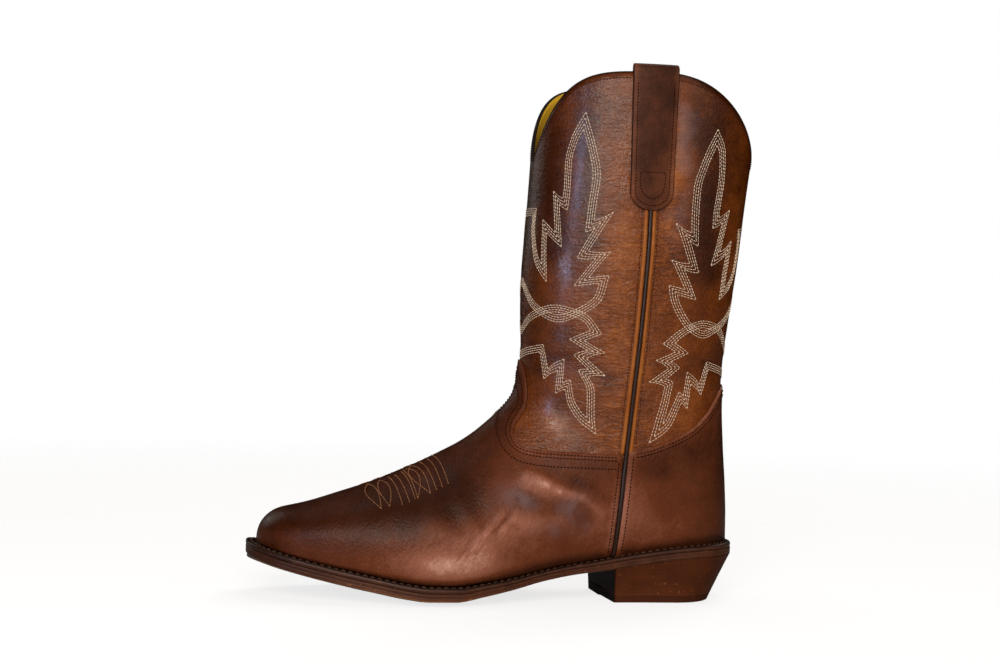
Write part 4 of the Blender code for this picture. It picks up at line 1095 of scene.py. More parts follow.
def strap_shape(side):
    """A strap's closed mesh: up the outer leg, half a turn over the top line, down the inner leg."""
    lead = STRAP_FOOT_Z + STRAP_ROUND * (1 - np.cos(np.linspace(0.0, math.pi / 2, 14)))
    climb = np.concatenate([lead, np.linspace(lead[-1], STRAP_TOP_Z, 34)[1:]])
    turn = np.linspace(0, math.pi, 22)
    down = np.linspace(STRAP_TOP_Z, STRAP_INNER_FOOT_Z, 24)
    z = np.concatenate([climb, np.full(len(turn), STRAP_TOP_Z), down])
    angle = np.concatenate([np.zeros(len(climb)), turn, np.full(len(down), math.pi)])
    outer_leg = np.arange(len(z)) < len(climb)
    half = strap_half(z) * np.where(outer_leg, np.maximum(cap(z - STRAP_FOOT_Z, STRAP_ROUND), 0.02), 1.0)
    across = np.sin(np.linspace(-1, 1, 31) * math.pi / 2)
    x = side_seam_x(z)[:, None] + half[:, None] * across[None, :]
    row, share = find_on_side(x.ravel(), np.broadcast_to(z[:, None], x.shape).ravel(), side)
    base, normal = skin(row, share).reshape(*x.shape, 3), skin_normal(row, share).reshape(*x.shape, 3)
    outer_lift, inner_lift = STRAP_GAP + STRAP_THICKNESS / 2, -(WALL + STRAP_GAP + STRAP_THICKNESS / 2)
    middle, swing = (outer_lift + inner_lift) / 2, (outer_lift - inner_lift) / 2
    lift = middle + swing * np.cos(angle)
    in_turn = (angle > 0) & (angle < math.pi)
    raised = np.where(in_turn, STRAP_LOOP_Z - STRAP_TOP_Z + swing * np.sin(angle), 0.0)
    core = base + normal * lift[:, None, None]
    core[..., 2] += raised[:, None]
    upright, turned = np.array([0, 0, 1.0]), angle[:, None, None]
    facing = unit(normal * np.cos(turned) + upright * np.sin(turned))
    edge = (1 - np.abs(across))[None, :] * half[:, None]
    from_foot = np.where(outer_leg, z - STRAP_FOOT_Z + 0.15, np.inf)
    thin = STRAP_THICKNESS / 2 * cap(np.minimum(edge, from_foot[:, None]), STRAP_EDGE_ROUND)
    top, under = core + facing * thin[..., None], core - facing * thin[..., None]
    ring = np.concatenate([top, under[:, ::-1]], axis=1)
    return ring.reshape(-1, 3), tube_faces(*ring.shape[:2])


for label, side in SIDES:
    points, faces = strap_shape(side)
    nodes = ["pull_strap_" + label]
    strap = make_piece("strap_" + label, points, faces, strap_leather, "strap", nodes, closed=True)
    x, y, z = places(strap)
    leg_z = np.minimum(z, STRAP_TOP_Z)
    from_edge = strap_half(leg_z) - np.abs(x - side_seam_x(leg_z))
    # paler in a band inside the edges, and painted shade on the strap's thin sides
    edge_band_and_shade = 0.20 * smoothstep(5.0, 0.5, from_edge) - 0.40 * smoothstep(0.5, 0.1, from_edge)
    paint(strap, "tone", 0.33 + 0.20 * smoothstep(275, 245, z) + edge_band_and_shade)
print("straps:", len(strap.data.polygons), "faces each")

# %% [markdown]
# ## Stitches
# Each stitch is a short thread that dips into the leather at both ends: four rings of five points, thin
# and low at the ends and full in the middle. All stitches of a seam are worked out at once as one array,
# rings by sides by stitches.

# %% Stitches along a line
STITCH_RINGS, STITCH_SIDES = 4, 5
STITCH_POINTS = STITCH_RINGS * STITCH_SIDES


def stitches(lines, pitch, length, radius):
    """Spindles along lines of points and normals: one every pitch, each a length long, sunk at its ends."""
    starts, ends, ups = [], [], []
    for line, normal in lines:
        run = run_length(line)
        count = max(1, int(round(run[-1] / pitch)))
        middle = (np.arange(count) + 0.5) * run[-1] / count
        half = length / 2 * run[-1] / count / pitch
        for ends_list, at in ((starts, middle - half), (ends, middle + half)):
            ends_list.append(np.stack([np.interp(at, run, line[:, k]) for k in range(3)], axis=1))
        ups.append(np.stack([np.interp(middle, run, normal[:, k]) for k in range(3)], axis=1))
    start, end, up = np.concatenate(starts), np.concatenate(ends), unit(np.concatenate(ups))
    across = unit(np.cross(end - start, up))
    t = np.array([0.0, 0.28, 0.72, 1.0])
    thick = radius * np.array([0.45, 1.0, 1.0, 0.45])
    high = radius * np.array([-0.35, 0.55, 0.55, -0.35])
    turn = np.linspace(0, 2 * math.pi, STITCH_SIDES, endpoint=False) + 0.3
    centre = start[:, None] + (end - start)[:, None] * t[None, :, None] + up[:, None] * high[None, :, None]
    spoke = across[:, None] * np.cos(turn)[None, :, None] + up[:, None] * np.sin(turn)[None, :, None]
    points = centre[:, :, None] + spoke[:, None] * thick[None, :, None, None]
    first = STITCH_POINTS * np.arange(len(start))[:, None]
    quads = (first[..., None] + grid_faces(STITCH_RINGS, STITCH_SIDES, ring=True)).reshape(-1, 4)
    cap_first = first + np.arange(STITCH_SIDES)
    cap_last = first + np.arange(STITCH_POINTS - STITCH_SIDES, STITCH_POINTS)[::-1]
    return points.reshape(-1, 3), quads.tolist() + cap_first.tolist() + cap_last.tolist()


print("a stitch has", STITCH_POINTS, "points")

# %% Thread finishes
TWIST_MM = 0.9  # a real thread twists in half of that, too fine to show, so it is drawn coarser


def sewing_thread(name, dark, light, roughness, shine):
    """Twisted thread, waxed: a painted highlight on its crowns and painted shade in its twist, as a noise the
    size of a turn.
    """
    made, tree, shader = new_finish(name)
    place = add(tree, "ShaderNodeTexCoord").outputs["Object"]
    twist = add(tree, "ShaderNodeTexNoise", {"Vector": place, "Scale": per_mm(TWIST_MM), "Detail": 2.0})
    ramp = add(tree, "ShaderNodeValToRGB", {"Fac": twist.outputs["Fac"]}, stops=((0.32, dark), (0.62, light)))
    tree.links.new(ramp.outputs["Color"], shader.inputs["Base Color"])
    shader.inputs["Roughness"].default_value = roughness
    shader.inputs["Specular IOR Level"].default_value = shine
    return made


# Polyester for the uppers and waxed linen for the welt: matt, with a painted soft highlight along each crown.
cream_thread = sewing_thread("polyester_thread_cream", "#a28a72", "#e4d2ba", 0.6, 0.3)
dark_thread = sewing_thread("polyester_thread_dark", "#0f0603", "#2a1209", 0.7, 0.03)
brown_thread = sewing_thread("polyester_thread_brown", "#2a1006", "#4a220f", 0.7, 0.03)
tan_thread = sewing_thread("polyester_thread_tan", "#74492a", "#a0714a", 0.6, 0.15)
welt_thread = sewing_thread("waxed_linen_thread", "#1c0f09", "#4a3222", 0.6, 0.08)
print("five thread colours")

# %% [markdown]
# ## The embroidered leaves
# Rows of cream thread draw a traditional flame-leaf figure on the front and the back panel of each side:
# two leaves, tip to tip, whose arcs cross in the middle. The chart gives points as (mm round the shaft
# from the front line, height) and their kind: 0 smooth, 1 the point of a barb, -1 the bottom of a notch.
# Four rows lie side by side: at a barb they nest inwards from the chart's point, and at a notch they nest
# outwards from it.

# %% Leaf chart
HALF_GIRTH = 185.0
ROW_SPACING, ROW_COUNT, MITRE_LIMIT, THORN_SAG = 1.36, 4, 3.4, 0.06
THREAD_STEP = 0.6  # spacing of the points along a row
FRONT_UPPER_LEAF = (
    (0.0, 193.5, 0), (4.1, 191.5, 0), (25.6, 176.5, 0), (45.9, 170.2, 0), (60.4, 174.8, 0),
    (72.6, 184.8, 0), (75.5, 199.0, 1), (55.2, 192.2, -1), (75.2, 213.5, 1), (55.9, 209.2, -1),
    (74.4, 237.4, 1), (59.7, 225.0, -1), (64.4, 243.8, 0), (64.9, 257.1, 0), (60.6, 276.4, 0),
    (53.2, 297.5, 1), (44.8, 280.7, 0), (42.2, 268.0, 0), (43.0, 249.1, 0), (46.8, 238.2, -1),
    (34.7, 249.8, 1), (44.9, 215.7, -1), (27.2, 232.6, 1), (28.2, 216.9, 0), (34.7, 194.5, -1),
    (26.2, 208.2, 0), (20.9, 218.8, 0), (18.0, 230.0, 0), (18.2, 239.5, 1), (0.0, 240.0, 0),
)
FRONT_LOWER_LEAF = (
    (0.0, 165.5, 0), (23.5, 176.5, 0), (42.9, 180.4, 0), (59.5, 177.2, 0), (66.0, 173.7, 0),
    (73.6, 163.7, 1), (53.4, 160.0, -1), (75.7, 152.3, 1), (56.2, 150.4, -1), (75.4, 138.3, 1),
    (59.0, 141.4, -1), (68.9, 129.5, 0), (69.3, 115.0, 0), (71.1, 102.8, 1), (60.4, 111.2, 0),
    (52.8, 122.6, 0), (54.2, 135.2, -1), (44.6, 126.5, 1), (49.4, 147.8, -1), (34.9, 135.1, 1),
    (32.8, 156.2, -1), (7.1, 148.6, 0), (0.0, 147.0, 0),
)
BACK_UPPER_LEAF = (
    (185.0, 191.0, 0), (174.0, 184.0, 0), (162.3, 175.7, 0), (143.8, 166.4, 0), (132.6, 163.1, 0),
    (121.6, 167.1, 0), (113.6, 175.5, 0), (107.9, 186.2, 0), (106.0, 194.4, 1), (123.8, 186.2, -1),
    (105.9, 209.9, 1), (123.5, 202.8, -1), (105.8, 232.3, 1), (120.4, 219.1, -1), (114.3, 236.5, 0),
    (113.4, 254.5, 0), (116.8, 270.8, 0), (124.5, 291.0, 1), (131.7, 277.6, 0), (133.5, 258.7, 0),
    (132.7, 240.1, 0), (129.2, 230.4, -1), (142.0, 242.6, 1), (132.0, 207.5, -1), (148.5, 223.8, 1),
    (144.0, 186.9, -1), (152.2, 197.3, 0), (158.4, 208.0, 0), (159.4, 219.0, 0), (158.0, 231.5, 1),
    (185.0, 233.0, 0),
)
BACK_LOWER_LEAF = (
    (185.0, 153.0, 0), (163.2, 162.3, 0), (147.6, 170.9, 0), (131.9, 173.6, 0), (121.3, 170.8, 0),
    (115.0, 166.9, 0), (105.9, 158.7, 1), (122.4, 153.7, -1), (102.2, 148.6, 1), (116.8, 144.4, -1),
    (98.5, 135.4, 1), (112.3, 135.8, -1), (103.9, 121.0, 0), (101.3, 112.0, 0), (97.7, 98.2, 1),
    (108.8, 107.8, 0), (114.4, 118.0, 0), (116.0, 129.7, -1), (121.4, 119.4, 1), (122.5, 142.0, -1),
    (133.5, 128.0, 1), (139.3, 148.4, -1), (164.4, 140.3, 0), (185.0, 137.0, 0),
)
LEAVES = ((FRONT_UPPER_LEAF, 1), (FRONT_LOWER_LEAF, -1), (BACK_UPPER_LEAF, -1), (BACK_LOWER_LEAF, 1))
print("leaf charts:", [len(chart) for chart, hand in LEAVES], "points")

# %% Leaf rows
def leaf_rows(chart, hand):
    """The rows of thread of one leaf, as parallel lines on the chart.

    The band's middle line is found first: at smooth points and barbs the chart gives the outermost row, at
    notches the innermost, and half the band's width divided by the cosine of half the turn lies between.
    A few rounds settle it. Between corners a smooth curve joins the points, and the shorter side of each barb
    sags, which makes it a thorn.
    """
    chart = np.array(chart, float)
    points, kind = chart[:, :2], chart[:, 2]
    half = ROW_SPACING * (ROW_COUNT - 1) / 2
    middle = points.copy()
    for _ in range(14):
        ahead = unit(np.diff(middle, axis=0))
        length = np.linalg.norm(np.diff(middle, axis=0), axis=1)
        normal = hand * np.stack([ahead[:, 1], -ahead[:, 0]], axis=1)
        before, after = np.concatenate([normal[:1], normal]), np.concatenate([normal, normal[-1:]])
        outward = unit(before + after)
        stretch = np.clip(1 / np.maximum(np.sum(outward * before, axis=1), TINY), 1.0, MITRE_LIMIT)
        settled = points - outward * (np.where(kind < 0, -1, 1) * half * stretch)[:, None]
        middle = (middle + settled) / 2
    corners = [0, *np.flatnonzero(kind != 0), len(points) - 1]
    lines = []
    for number in range(ROW_COUNT):
        moved = middle + outward * ((half - number * ROW_SPACING) * stretch)[:, None]
        for a, b in zip(corners[:-1], corners[1:]):
            if b == a + 1 and kind[a] * kind[b] == -1:
                barb, other = (a, a - 1) if kind[a] > 0 else (b, b + 1)
                sags = 0 <= other < len(points) and length[a] < length[min(barb, other)]
                across = hand * np.array([-ahead[a, 1], ahead[a, 0]])
                sag = across * THORN_SAG * np.linalg.norm(moved[b] - moved[a]) * sags
                bowed = np.array([moved[a], (moved[a] + moved[b]) / 2 + sag, moved[b]])
                lines.append(curve_through(bowed, THREAD_STEP))
            elif b > a:
                lines.append(curve_through(moved[a : b + 1], THREAD_STEP))
    return lines


chart_lines = [line for chart, hand in LEAVES for line in leaf_rows(chart, hand)]
print("leaf rows:", len(chart_lines), "lines of thread")

# %% Embroidery
ON_SHAFT = 0.05  # how far threads lie off the leather


def on_shaft(line, side):
    """A chart line laid on the shaft: share from the girth, row from the height."""
    share = side * np.clip(line[:, 0], 0, HALF_GIRTH) / HALF_GIRTH
    row = row_at_height(share, line[:, 1])
    return skin(row, share, np.full(len(row), ON_SHAFT)), skin_normal(row, share)


for label, side in SIDES:
    laid = [on_shaft(line, side) for line in chart_lines]
    points, faces = stitches(laid, pitch=2.1, length=1.8, radius=0.23)
    make_piece("leaf_embroidery_" + label, points, faces, cream_thread, "upper")
print("embroidery:", len(points) // STITCH_POINTS, "stitches on each side")

# %% [markdown]
# ## Seam stitching
# Dark thread holds the overlays: two rows along the vamp's edge with a third further in, two along the
# counter, one on each side of the piping, one round the strap with a sewn patch at its foot, and a brown
# row under the top line. Lines in the side view are moved sideways by the rows' distances, then laid on
# the leather that they go through.

# %% Rows of seam stitches
ON_OVERLAY, ON_STRAP = GAP + OVERLAY + 0.05, STRAP_GAP + STRAP_THICKNESS + 0.02
STRAP_ROW_INSET = 3.0
STRAP_BOX = np.array([  # the sewn patch: mm from the side seam, and height
    (-7.6, 262.0), (-7.4, 254.0), (-5.4, 249.0), (0.0, 246.0), (5.4, 249.0), (7.4, 254.0), (7.6, 262.0),
])


def beside(line, distance):
    """A line of the side view moved to its right hand side by a distance, along its normals."""
    ahead = unit(np.gradient(line, axis=0))
    return line + distance * np.stack([ahead[:, 1], -ahead[:, 0]], axis=1)


def overlay_seams(side):
    """Rows along the cut edges of the vamp and the counter, and one on each side of the piping."""
    seams = []
    for distance, last_x in ((1.9, 64.5), (3.9, 64.5), (9.0, 64.0)):
        line = beside(vamp_line, distance)
        seams.append(line[(line[:, 0] < last_x) & (line[:, 1] < 143)])
    for distance in (1.9, 3.9):
        line = beside(counter_line, distance)
        seams.append(line[(line[:, 0] > 75) & (line[:, 0] < 136)])
    for offset, low, high in ((-4.1, 31.0, 86.0), (4.6, 32.0, 89.0)):
        z = np.linspace(low, high, 80)
        seams.append(np.column_stack([side_seam_x(z) + offset, z]))
    return [on_side_line(x, z, side, ON_OVERLAY) for x, z in (line.T for line in seams)]


def shaft_seams(side):
    """A row on each side of the piping, and one just under the top line."""
    seams = []
    for offset, low in ((-4.9, 94.0), (4.9, 97.0)):
        z = np.linspace(low, STRAP_FOOT_Z + 4, 160)
        seams.append(on_side_line(side_seam_x(z) + offset, z, side, ON_SHAFT))
    share = side * np.linspace(0.02, 0.98, 240)
    row = np.full(len(share), LAST_ROW - 0.07)
    return seams + [(skin(row, share, np.full(len(share), ON_SHAFT)), skin_normal(row, share))]


def strap_seams(side):
    """A row round the strap's outer leg, drawn in from its outline, and the sewn patch with its lid."""
    bend = np.sin(np.linspace(0.05, math.pi / 2, 30))
    bend_z, bend_radius = STRAP_FOOT_Z + STRAP_ROUND, STRAP_ROUND - STRAP_ROW_INSET
    z = np.concatenate([np.linspace(STRAP_TOP_Z, bend_z, 60), bend_z - bend_radius * bend])
    foot = np.where(z < bend_z, cap(z - STRAP_FOOT_Z - STRAP_ROW_INSET, bend_radius), 1.0)
    half = (strap_half(z) - STRAP_ROW_INSET) * foot
    outline = np.column_stack([np.append(-half, half[::-1]), np.append(z, z[::-1])])
    lid = np.linspace(STRAP_BOX[0], STRAP_BOX[-1], 20)
    rows = (line.T for line in (outline, curve_through(STRAP_BOX, 0.8), lid))
    return [on_side_line(side_seam_x(z) + x, z, side, ON_STRAP) for x, z in rows]


print("rows of stitches on a side:", [len(rows(-1)) for rows in (overlay_seams, shaft_seams, strap_seams)])

# %% Seam stitching
for label, side in SIDES:
    for name, seams, pitch, length, radius, thread, slot in (
        ("seam", overlay_seams(side), 2.1, 1.5, 0.36, dark_thread, "vamp"),
        ("shaft", shaft_seams(side), 2.0, 1.5, 0.30, brown_thread, "upper"),
        ("strap", strap_seams(side), 1.9, 1.4, 0.31, dark_thread, "strap"),
    ):
        points, faces = stitches(seams, pitch, length, radius)
        make_piece(name + "_stitches_" + label, points, faces, thread, slot)
        print(label, name, "stitches:", len(points) // STITCH_POINTS)

# %% [markdown]
# ## Toe stitching
# A small fan of tan thread lies on both flanks of the vamp behind the toe: leaves and bars that run down
# from the ridge. The chart gives both ends of each line and how far it bows, and is mirrored across the
# ridge.

# %% Toe stitching
TOE_LINES = (  # x and share at the upper end, x and share at the lower end, bow towards the toe in mm
    (-83.5, 0.045, -78.6, 0.475, 5.2), (-83.5, 0.045, -78.6, 0.475, -1.6),
    (-76.8, 0.060, -73.6, 0.465, 3.4), (-76.8, 0.060, -73.6, 0.465, -3.0),
    (-71.4, 0.060, -66.1, 0.470, 0.0), (-67.6, 0.080, -62.0, 0.462, 0.0),
    (-63.6, 0.060, -58.6, 0.445, 0.0), (-62.2, 0.055, -57.0, 0.440, 0.0),
    (-60.6, 0.050, -57.0, 0.440, -4.2), (-57.0, 0.020, -49.6, 0.420, 6.2), (-57.0, 0.020, -49.6, 0.420, -1.4),
    (-51.8, 0.025, -45.6, 0.412, 0.0), (-47.4, 0.030, -42.0, 0.408, 0.0), (-43.8, 0.010, -38.4, 0.402, 0.0),
)


def row_at_x(share, x):
    """The row at which the line of one share reaches a place along the foot."""
    rows = np.linspace(0.5, 9.0, 240)
    lines = skin(rows[:, None], share[None, :])[..., 0]
    above = np.clip((lines < x).sum(axis=0), 1, len(rows) - 1)
    column = np.arange(len(share))
    part = (x - lines[above - 1, column]) / np.maximum(lines[above, column] - lines[above - 1, column], TINY)
    return rows[above - 1] + np.clip(part, 0, 1) * (rows[1] - rows[0])


toe_threads = []
for upper_x, upper_share, lower_x, lower_share, bow in TOE_LINES:
    for side in (-1, 1):
        t = np.linspace(0.0, 1.0, 60)
        share = side * (upper_share + (lower_share - upper_share) * t)
        place_x = upper_x + (lower_x - upper_x) * t - bow * np.sin(math.pi * t)
        row = row_at_x(share, place_x)
        toe_threads.append((skin(row, share, np.full(len(t), ON_OVERLAY)), skin_normal(row, share)))
points, faces = stitches(toe_threads, pitch=2.0, length=1.6, radius=0.20)
make_piece("toe_stitches", points, faces, tan_thread, "vamp")
print("toe stitching:", len(points) // STITCH_POINTS, "stitches")

# %% [markdown]
# ## Welt, outsole and insole
# Three leather plates share the sole's outline. Each is a profile carried round it: a pair (inset from
# the outline, height) for every point of the profile. The welt has a stitch groove, the outsole a scored
# line along its edge.

# %% Profiles round the sole
def sole_ring(inset, share=1.0, count=150):
    """The sole's outline drawn in by an inset, once round from the toe, its half widths scaled by a share."""
    t = np.linspace(0, 1, count)
    eased = t - np.sin(2 * math.pi * t) / (2 * math.pi) * 0.86
    x = SOLE_TOE_X + inset + (SOLE_HEEL_X - SOLE_TOE_X - 2 * inset) * eased
    outer, inner = -half_width(x, "outer", inset) * share, half_width(x, "inner", inset) * share
    ring_x = np.concatenate([x, x[-2:0:-1]])
    return ring_x, np.concatenate([outer, inner[-2:0:-1]]) + toe_swing(ring_x)


def carried_round(profile):
    """A profile round the sole: each entry is (inset, share, height function)."""
    rings = []
    for inset, share, height in profile:
        x, y = sole_ring(inset, share)
        rings.append(np.stack([x, y, height(x)], axis=1))
    rings = np.array(rings)
    return rings.reshape(-1, 3), grid_faces(len(rings), rings.shape[1], ring=True)


def between(low, high, part):
    """A height function part of the way from one height function to another."""
    return lambda x: low(x) + (high(x) - low(x)) * part


def above(base, rise):
    """A height function a fixed rise above another."""
    return lambda x: base(x) + rise


print("the sole's outline has", len(sole_ring(0.0)[0]), "points")

# %% Sole leather
STREAK_MM, FIBRE_CLOUD_MM, KNOCK_MM, SCUFF_MM = 1.1, 9.0, 2.2, 5.0  # real fibres are finer than the streaks


def sole_leather(name, edge_stops, tread_stops, roughness, mottle=0.5, shine=0.04):
    """Bend leather: fibre streaks along the edge, tan tread where the face points down."""
    made, tree, shader = new_finish(name)
    place = add(tree, "ShaderNodeTexCoord").outputs["Object"]
    tone = add(tree, "ShaderNodeAttribute", attribute_name="tone").outputs["Fac"]
    layers = add(tree, "ShaderNodeMapping", {"Vector": place, "Scale": (0.12, 0.12, 1.0)})
    streak = add(
        tree, "ShaderNodeTexNoise",
        {"Vector": layers.outputs["Vector"], "Scale": per_mm(STREAK_MM), "Detail": 5.0, "Roughness": 0.65},
    ).outputs["Fac"]
    cloud = add(
        tree, "ShaderNodeTexNoise", {"Vector": place, "Scale": per_mm(FIBRE_CLOUD_MM), "Detail": 4.0}
    ).outputs["Fac"]
    for pattern in (streak, cloud):
        mixed = add(tree, "ShaderNodeMath", {0: pattern, 1: mottle, 2: tone}, operation="MULTIPLY_ADD")
        tone = mixed.outputs[0]
    tone = add(tree, "ShaderNodeMath", {0: tone, 1: mottle}, operation="SUBTRACT").outputs[0]
    knock = add(tree, "ShaderNodeTexNoise", {"Vector": place, "Scale": per_mm(KNOCK_MM), "Detail": 2.0})
    knock = add(
        tree, "ShaderNodeMapRange",
        {"Value": knock.outputs["Fac"], "From Min": 0.66, "From Max": 0.76, "To Max": 0.35},
    )
    tone = add(tree, "ShaderNodeMath", {0: tone, 1: knock.outputs["Result"]}, operation="ADD").outputs[0]
    edge_colour = add(tree, "ShaderNodeValToRGB", {"Fac": tone}, stops=edge_stops)
    scuff = add(
        tree, "ShaderNodeTexNoise",
        {"Vector": place, "Scale": per_mm(SCUFF_MM), "Detail": 6.0, "Roughness": 0.7},
    )
    tread_colour = add(tree, "ShaderNodeValToRGB", {"Fac": scuff.outputs["Fac"]}, stops=tread_stops)
    facing = add(tree, "ShaderNodeSeparateXYZ", {0: add(tree, "ShaderNodeNewGeometry").outputs["Normal"]})
    down = add(
        tree, "ShaderNodeMapRange",
        {"Value": facing.outputs["Z"], "From Min": -0.6, "From Max": -0.9, "To Min": 0.0, "To Max": 1.0},
    ).outputs["Result"]
    colour = add(
        tree, "ShaderNodeMix", {0: down, 6: edge_colour.outputs["Color"], 7: tread_colour.outputs["Color"]},
        data_type="RGBA",
    )
    bump = add(tree, "ShaderNodeBump", {"Height": streak, "Strength": 0.5, "Distance": 0.12 * MM})
    tree.links.new(colour.outputs[2], shader.inputs["Base Color"])
    tree.links.new(bump.outputs["Normal"], shader.inputs["Normal"])
    shader.inputs["Roughness"].default_value = roughness
    shader.inputs["Specular IOR Level"].default_value = shine
    shader.inputs["Coat Weight"].default_value = shine / 2
    shader.inputs["Coat Roughness"].default_value = 0.3
    return made


# Outsole: bend leather, pressed and waxed dark at the edge, bare and tan underneath where it is worn.
outsole_leather = sole_leather(
    "bend_leather_dressed_edge",
    ((0.0, "#120705"), (0.35, "#351c12"), (0.6, "#583320"), (1.0, "#9c7252")),
    ((0.3, "#5d3c22"), (0.5, "#8a5f38"), (0.75, "#a67c4f")), 0.45, mottle=0.24, shine=0.08,
)
# Welt: the same leather in a thinner strip, stained dark brown, with a dull wax shine; its top face is
# painted nearly black, as painted shade under the upper's edge.
welt_leather = sole_leather(
    "welt_leather_dark",
    ((0.0, "#0a0403"), (0.35, "#2b1710"), (0.6, "#4e2f20"), (1.0, "#8d6447")),
    ((0.3, "#1f110c"), (0.7, "#35200f")), 0.40, mottle=0.24, shine=0.10,
)
# Insole: bare leather board, tan and matt.
insole_leather = sole_leather(
    "insole_board_tan",
    ((0.0, "#6d4a26"), (0.5, "#9c7444"), (1.0, "#b98f5c")),
    ((0.3, "#6d4a26"), (0.7, "#9c7444")), 0.65,
)
print("sole leathers:", [finish.name for finish in (outsole_leather, welt_leather, insole_leather)])

# %% Welt
WELT_SEAT, STITCH_GROOVE = 0.12, 3.1
WELT_EDGE = (  # inset from the outline, and share of the welt's thickness
    (0.25, 0.06), (0.0, 0.28), (0.0, 0.58), (0.2, 0.80), (0.6, 0.94), (1.2, 1.0), (2.2, 1.0), (2.6, 0.92),
    (STITCH_GROOVE, 0.88), (3.6, 0.92), (4.0, 1.0), (8.0, 1.0), (15.0, 1.0), (15.0, 0.0),
)
bottom = above(outsole_top, WELT_SEAT)
welt_profile = [(15.0, 1.0, bottom), (0.7, 1.0, bottom)]
welt_profile += [(inset, 1.0, between(bottom, welt_top, part)) for inset, part in WELT_EDGE]
points, faces = carried_round(welt_profile)
welt = make_piece("welt_strip", points, faces, welt_leather, "welt", ["welt"], closed=True, sharp=60)
x, y, z = places(welt)
side_face = smoothstep(0.96, 0.80, (z - bottom(x)) / sole(x, "welt"))
# painted shade: the top face nearly black under the upper; the side face brown, darker towards the toe
paint(welt, "tone", 0.12 + (0.34 - 0.16 * smoothstep(-115, -145, x)) * side_face)
print("welt", len(welt.data.polygons), "faces")

# %% Outsole
def tread_at(share):
    """A height function: the outsole's underside at one share of its half width."""
    return lambda x: tread(x, share)


SCORED_EDGE = (  # inset from the outline, and share of the outsole's thickness
    (0.2, 0.97), (0.0, 0.88), (0.0, 0.56), (0.14, 0.50), (0.0, 0.44), (0.0, 0.18), (0.25, 0.05), (0.8, 0.0),
)
TREAD_SHARES = (0.97, 0.9, 0.8, 0.7, 0.58, 0.45, 0.2, 0.0)
sole_profile = [(0.6, share, outsole_top) for share in (0.0, 0.5, 0.9, 1.0)]
sole_profile += [(inset, 1.0, between(tread_at(1.0), outsole_top, part)) for inset, part in SCORED_EDGE]
sole_profile += [(0.8, share, tread_at(share)) for share in TREAD_SHARES]
points, faces = carried_round(sole_profile)
outsole = make_piece(
    "outsole_leather", points, faces, outsole_leather, "outsole", ["outsole"], closed=True, sharp=60
)
x, y, z = places(outsole)
# paler along the lower edge at the ball: worn tan there, and a painted highlight
worn_and_highlight = smoothstep(0.35, 0.0, (z - tread(x, 1.0)) / sole(x, "outsole")) * bell(x + 58, 55)
paint(outsole, "tone", 0.42 - 0.10 * smoothstep(-100, -135, x) + 0.45 * worn_and_highlight)
print("outsole", len(outsole.data.polygons), "faces")

# %% Insole and welt stitches
INSOLE_INSET, INSOLE_ROUND, INSOLE_SIDE, INSOLE_TOP = 10.6, 0.6, 1.8, 2.4
board = [(INSOLE_INSET, share, feather_z) for share in (0.0, 0.6, 1.0)]
board += [(INSOLE_INSET, 1.0, above(feather_z, INSOLE_SIDE))]
board_top = above(feather_z, INSOLE_TOP)
board += [(INSOLE_INSET + INSOLE_ROUND, share, board_top) for share in (1.0, 0.8, 0.5, 0.2, 0.0)]
points, faces = carried_round(board)
insole = make_piece(
    "insole_board", points, faces, insole_leather, "insole", ["insole"], closed=True, sharp=50
)
paint(insole, "tone", 0.5)

x, y = sole_ring(STITCH_GROOVE, count=400)
line = np.stack([x, y, welt_top(x) - 0.10], axis=1)
upright = np.tile([0.0, 0.0, 1.0], (len(line), 1))
points, faces = stitches([(line, upright)], pitch=4.4, length=3.5, radius=0.55)
make_piece("welt_stitches", points, faces, welt_thread, "welt")
print("insole", len(insole.data.polygons), "faces,", len(points) // STITCH_POINTS, "welt stitches")

# %% [markdown]
# ## Heel
# The heel is a stack of leather lifts with a rubber top lift at the floor. Its side is a grid (round the
# D-shaped outline, up its height): the seat has the sole's outline, the floor is drawn in, and the sides
# are slightly hollow.

# %% Heel shape
HEEL_BREAST_X, HEEL_FLOOR_BREAST_X, HEEL_FLOOR_BACK_X = 65.0, 66.0, 133.0
HEEL_BREAST_SLANT, HEEL_FLOOR_SHARE, HEEL_SIDE_HOLLOW, TOP_LIFT = 2.0, 0.91, 0.8, 5.0


def heel_ring(height, share=1.0):
    """The heel's outline at a height, a function of the seat's height, its half widths scaled by a share.

    From the floor's outline to the seat's, x and the half width change in proportion to the height, and the
    sides are hollowed by half a sine wave.
    """
    back = np.concatenate([np.linspace(0, 0.7, 40), 1 - 0.3 * np.cos(np.linspace(0, math.pi / 2, 36)[1:])])
    rings = []
    for side, sign in SIDES:
        slant = HEEL_BREAST_SLANT * (1 - back) if side == "inner" else 0.0 * back
        at = HEEL_BREAST_X + (SOLE_HEEL_X - HEEL_BREAST_X) * back
        seat_x = at - slant
        floor_x = HEEL_FLOOR_BREAST_X + (HEEL_FLOOR_BACK_X - HEEL_FLOOR_BREAST_X) * back - slant
        width, seat_z = half_width(at, side), tread(seat_x, 1.0) - 0.05
        z = height(seat_z)
        rise = z / seat_z
        hollow = HEEL_SIDE_HOLLOW * np.sin(math.pi * rise) * width / sole(at, side)
        y = sign * (width * (HEEL_FLOOR_SHARE + (1 - HEEL_FLOOR_SHARE) * rise) - hollow) * share
        rings.append(np.stack([floor_x + (seat_x - floor_x) * rise, y, z], axis=1))
    return np.concatenate([rings[0], rings[1][::-1]])


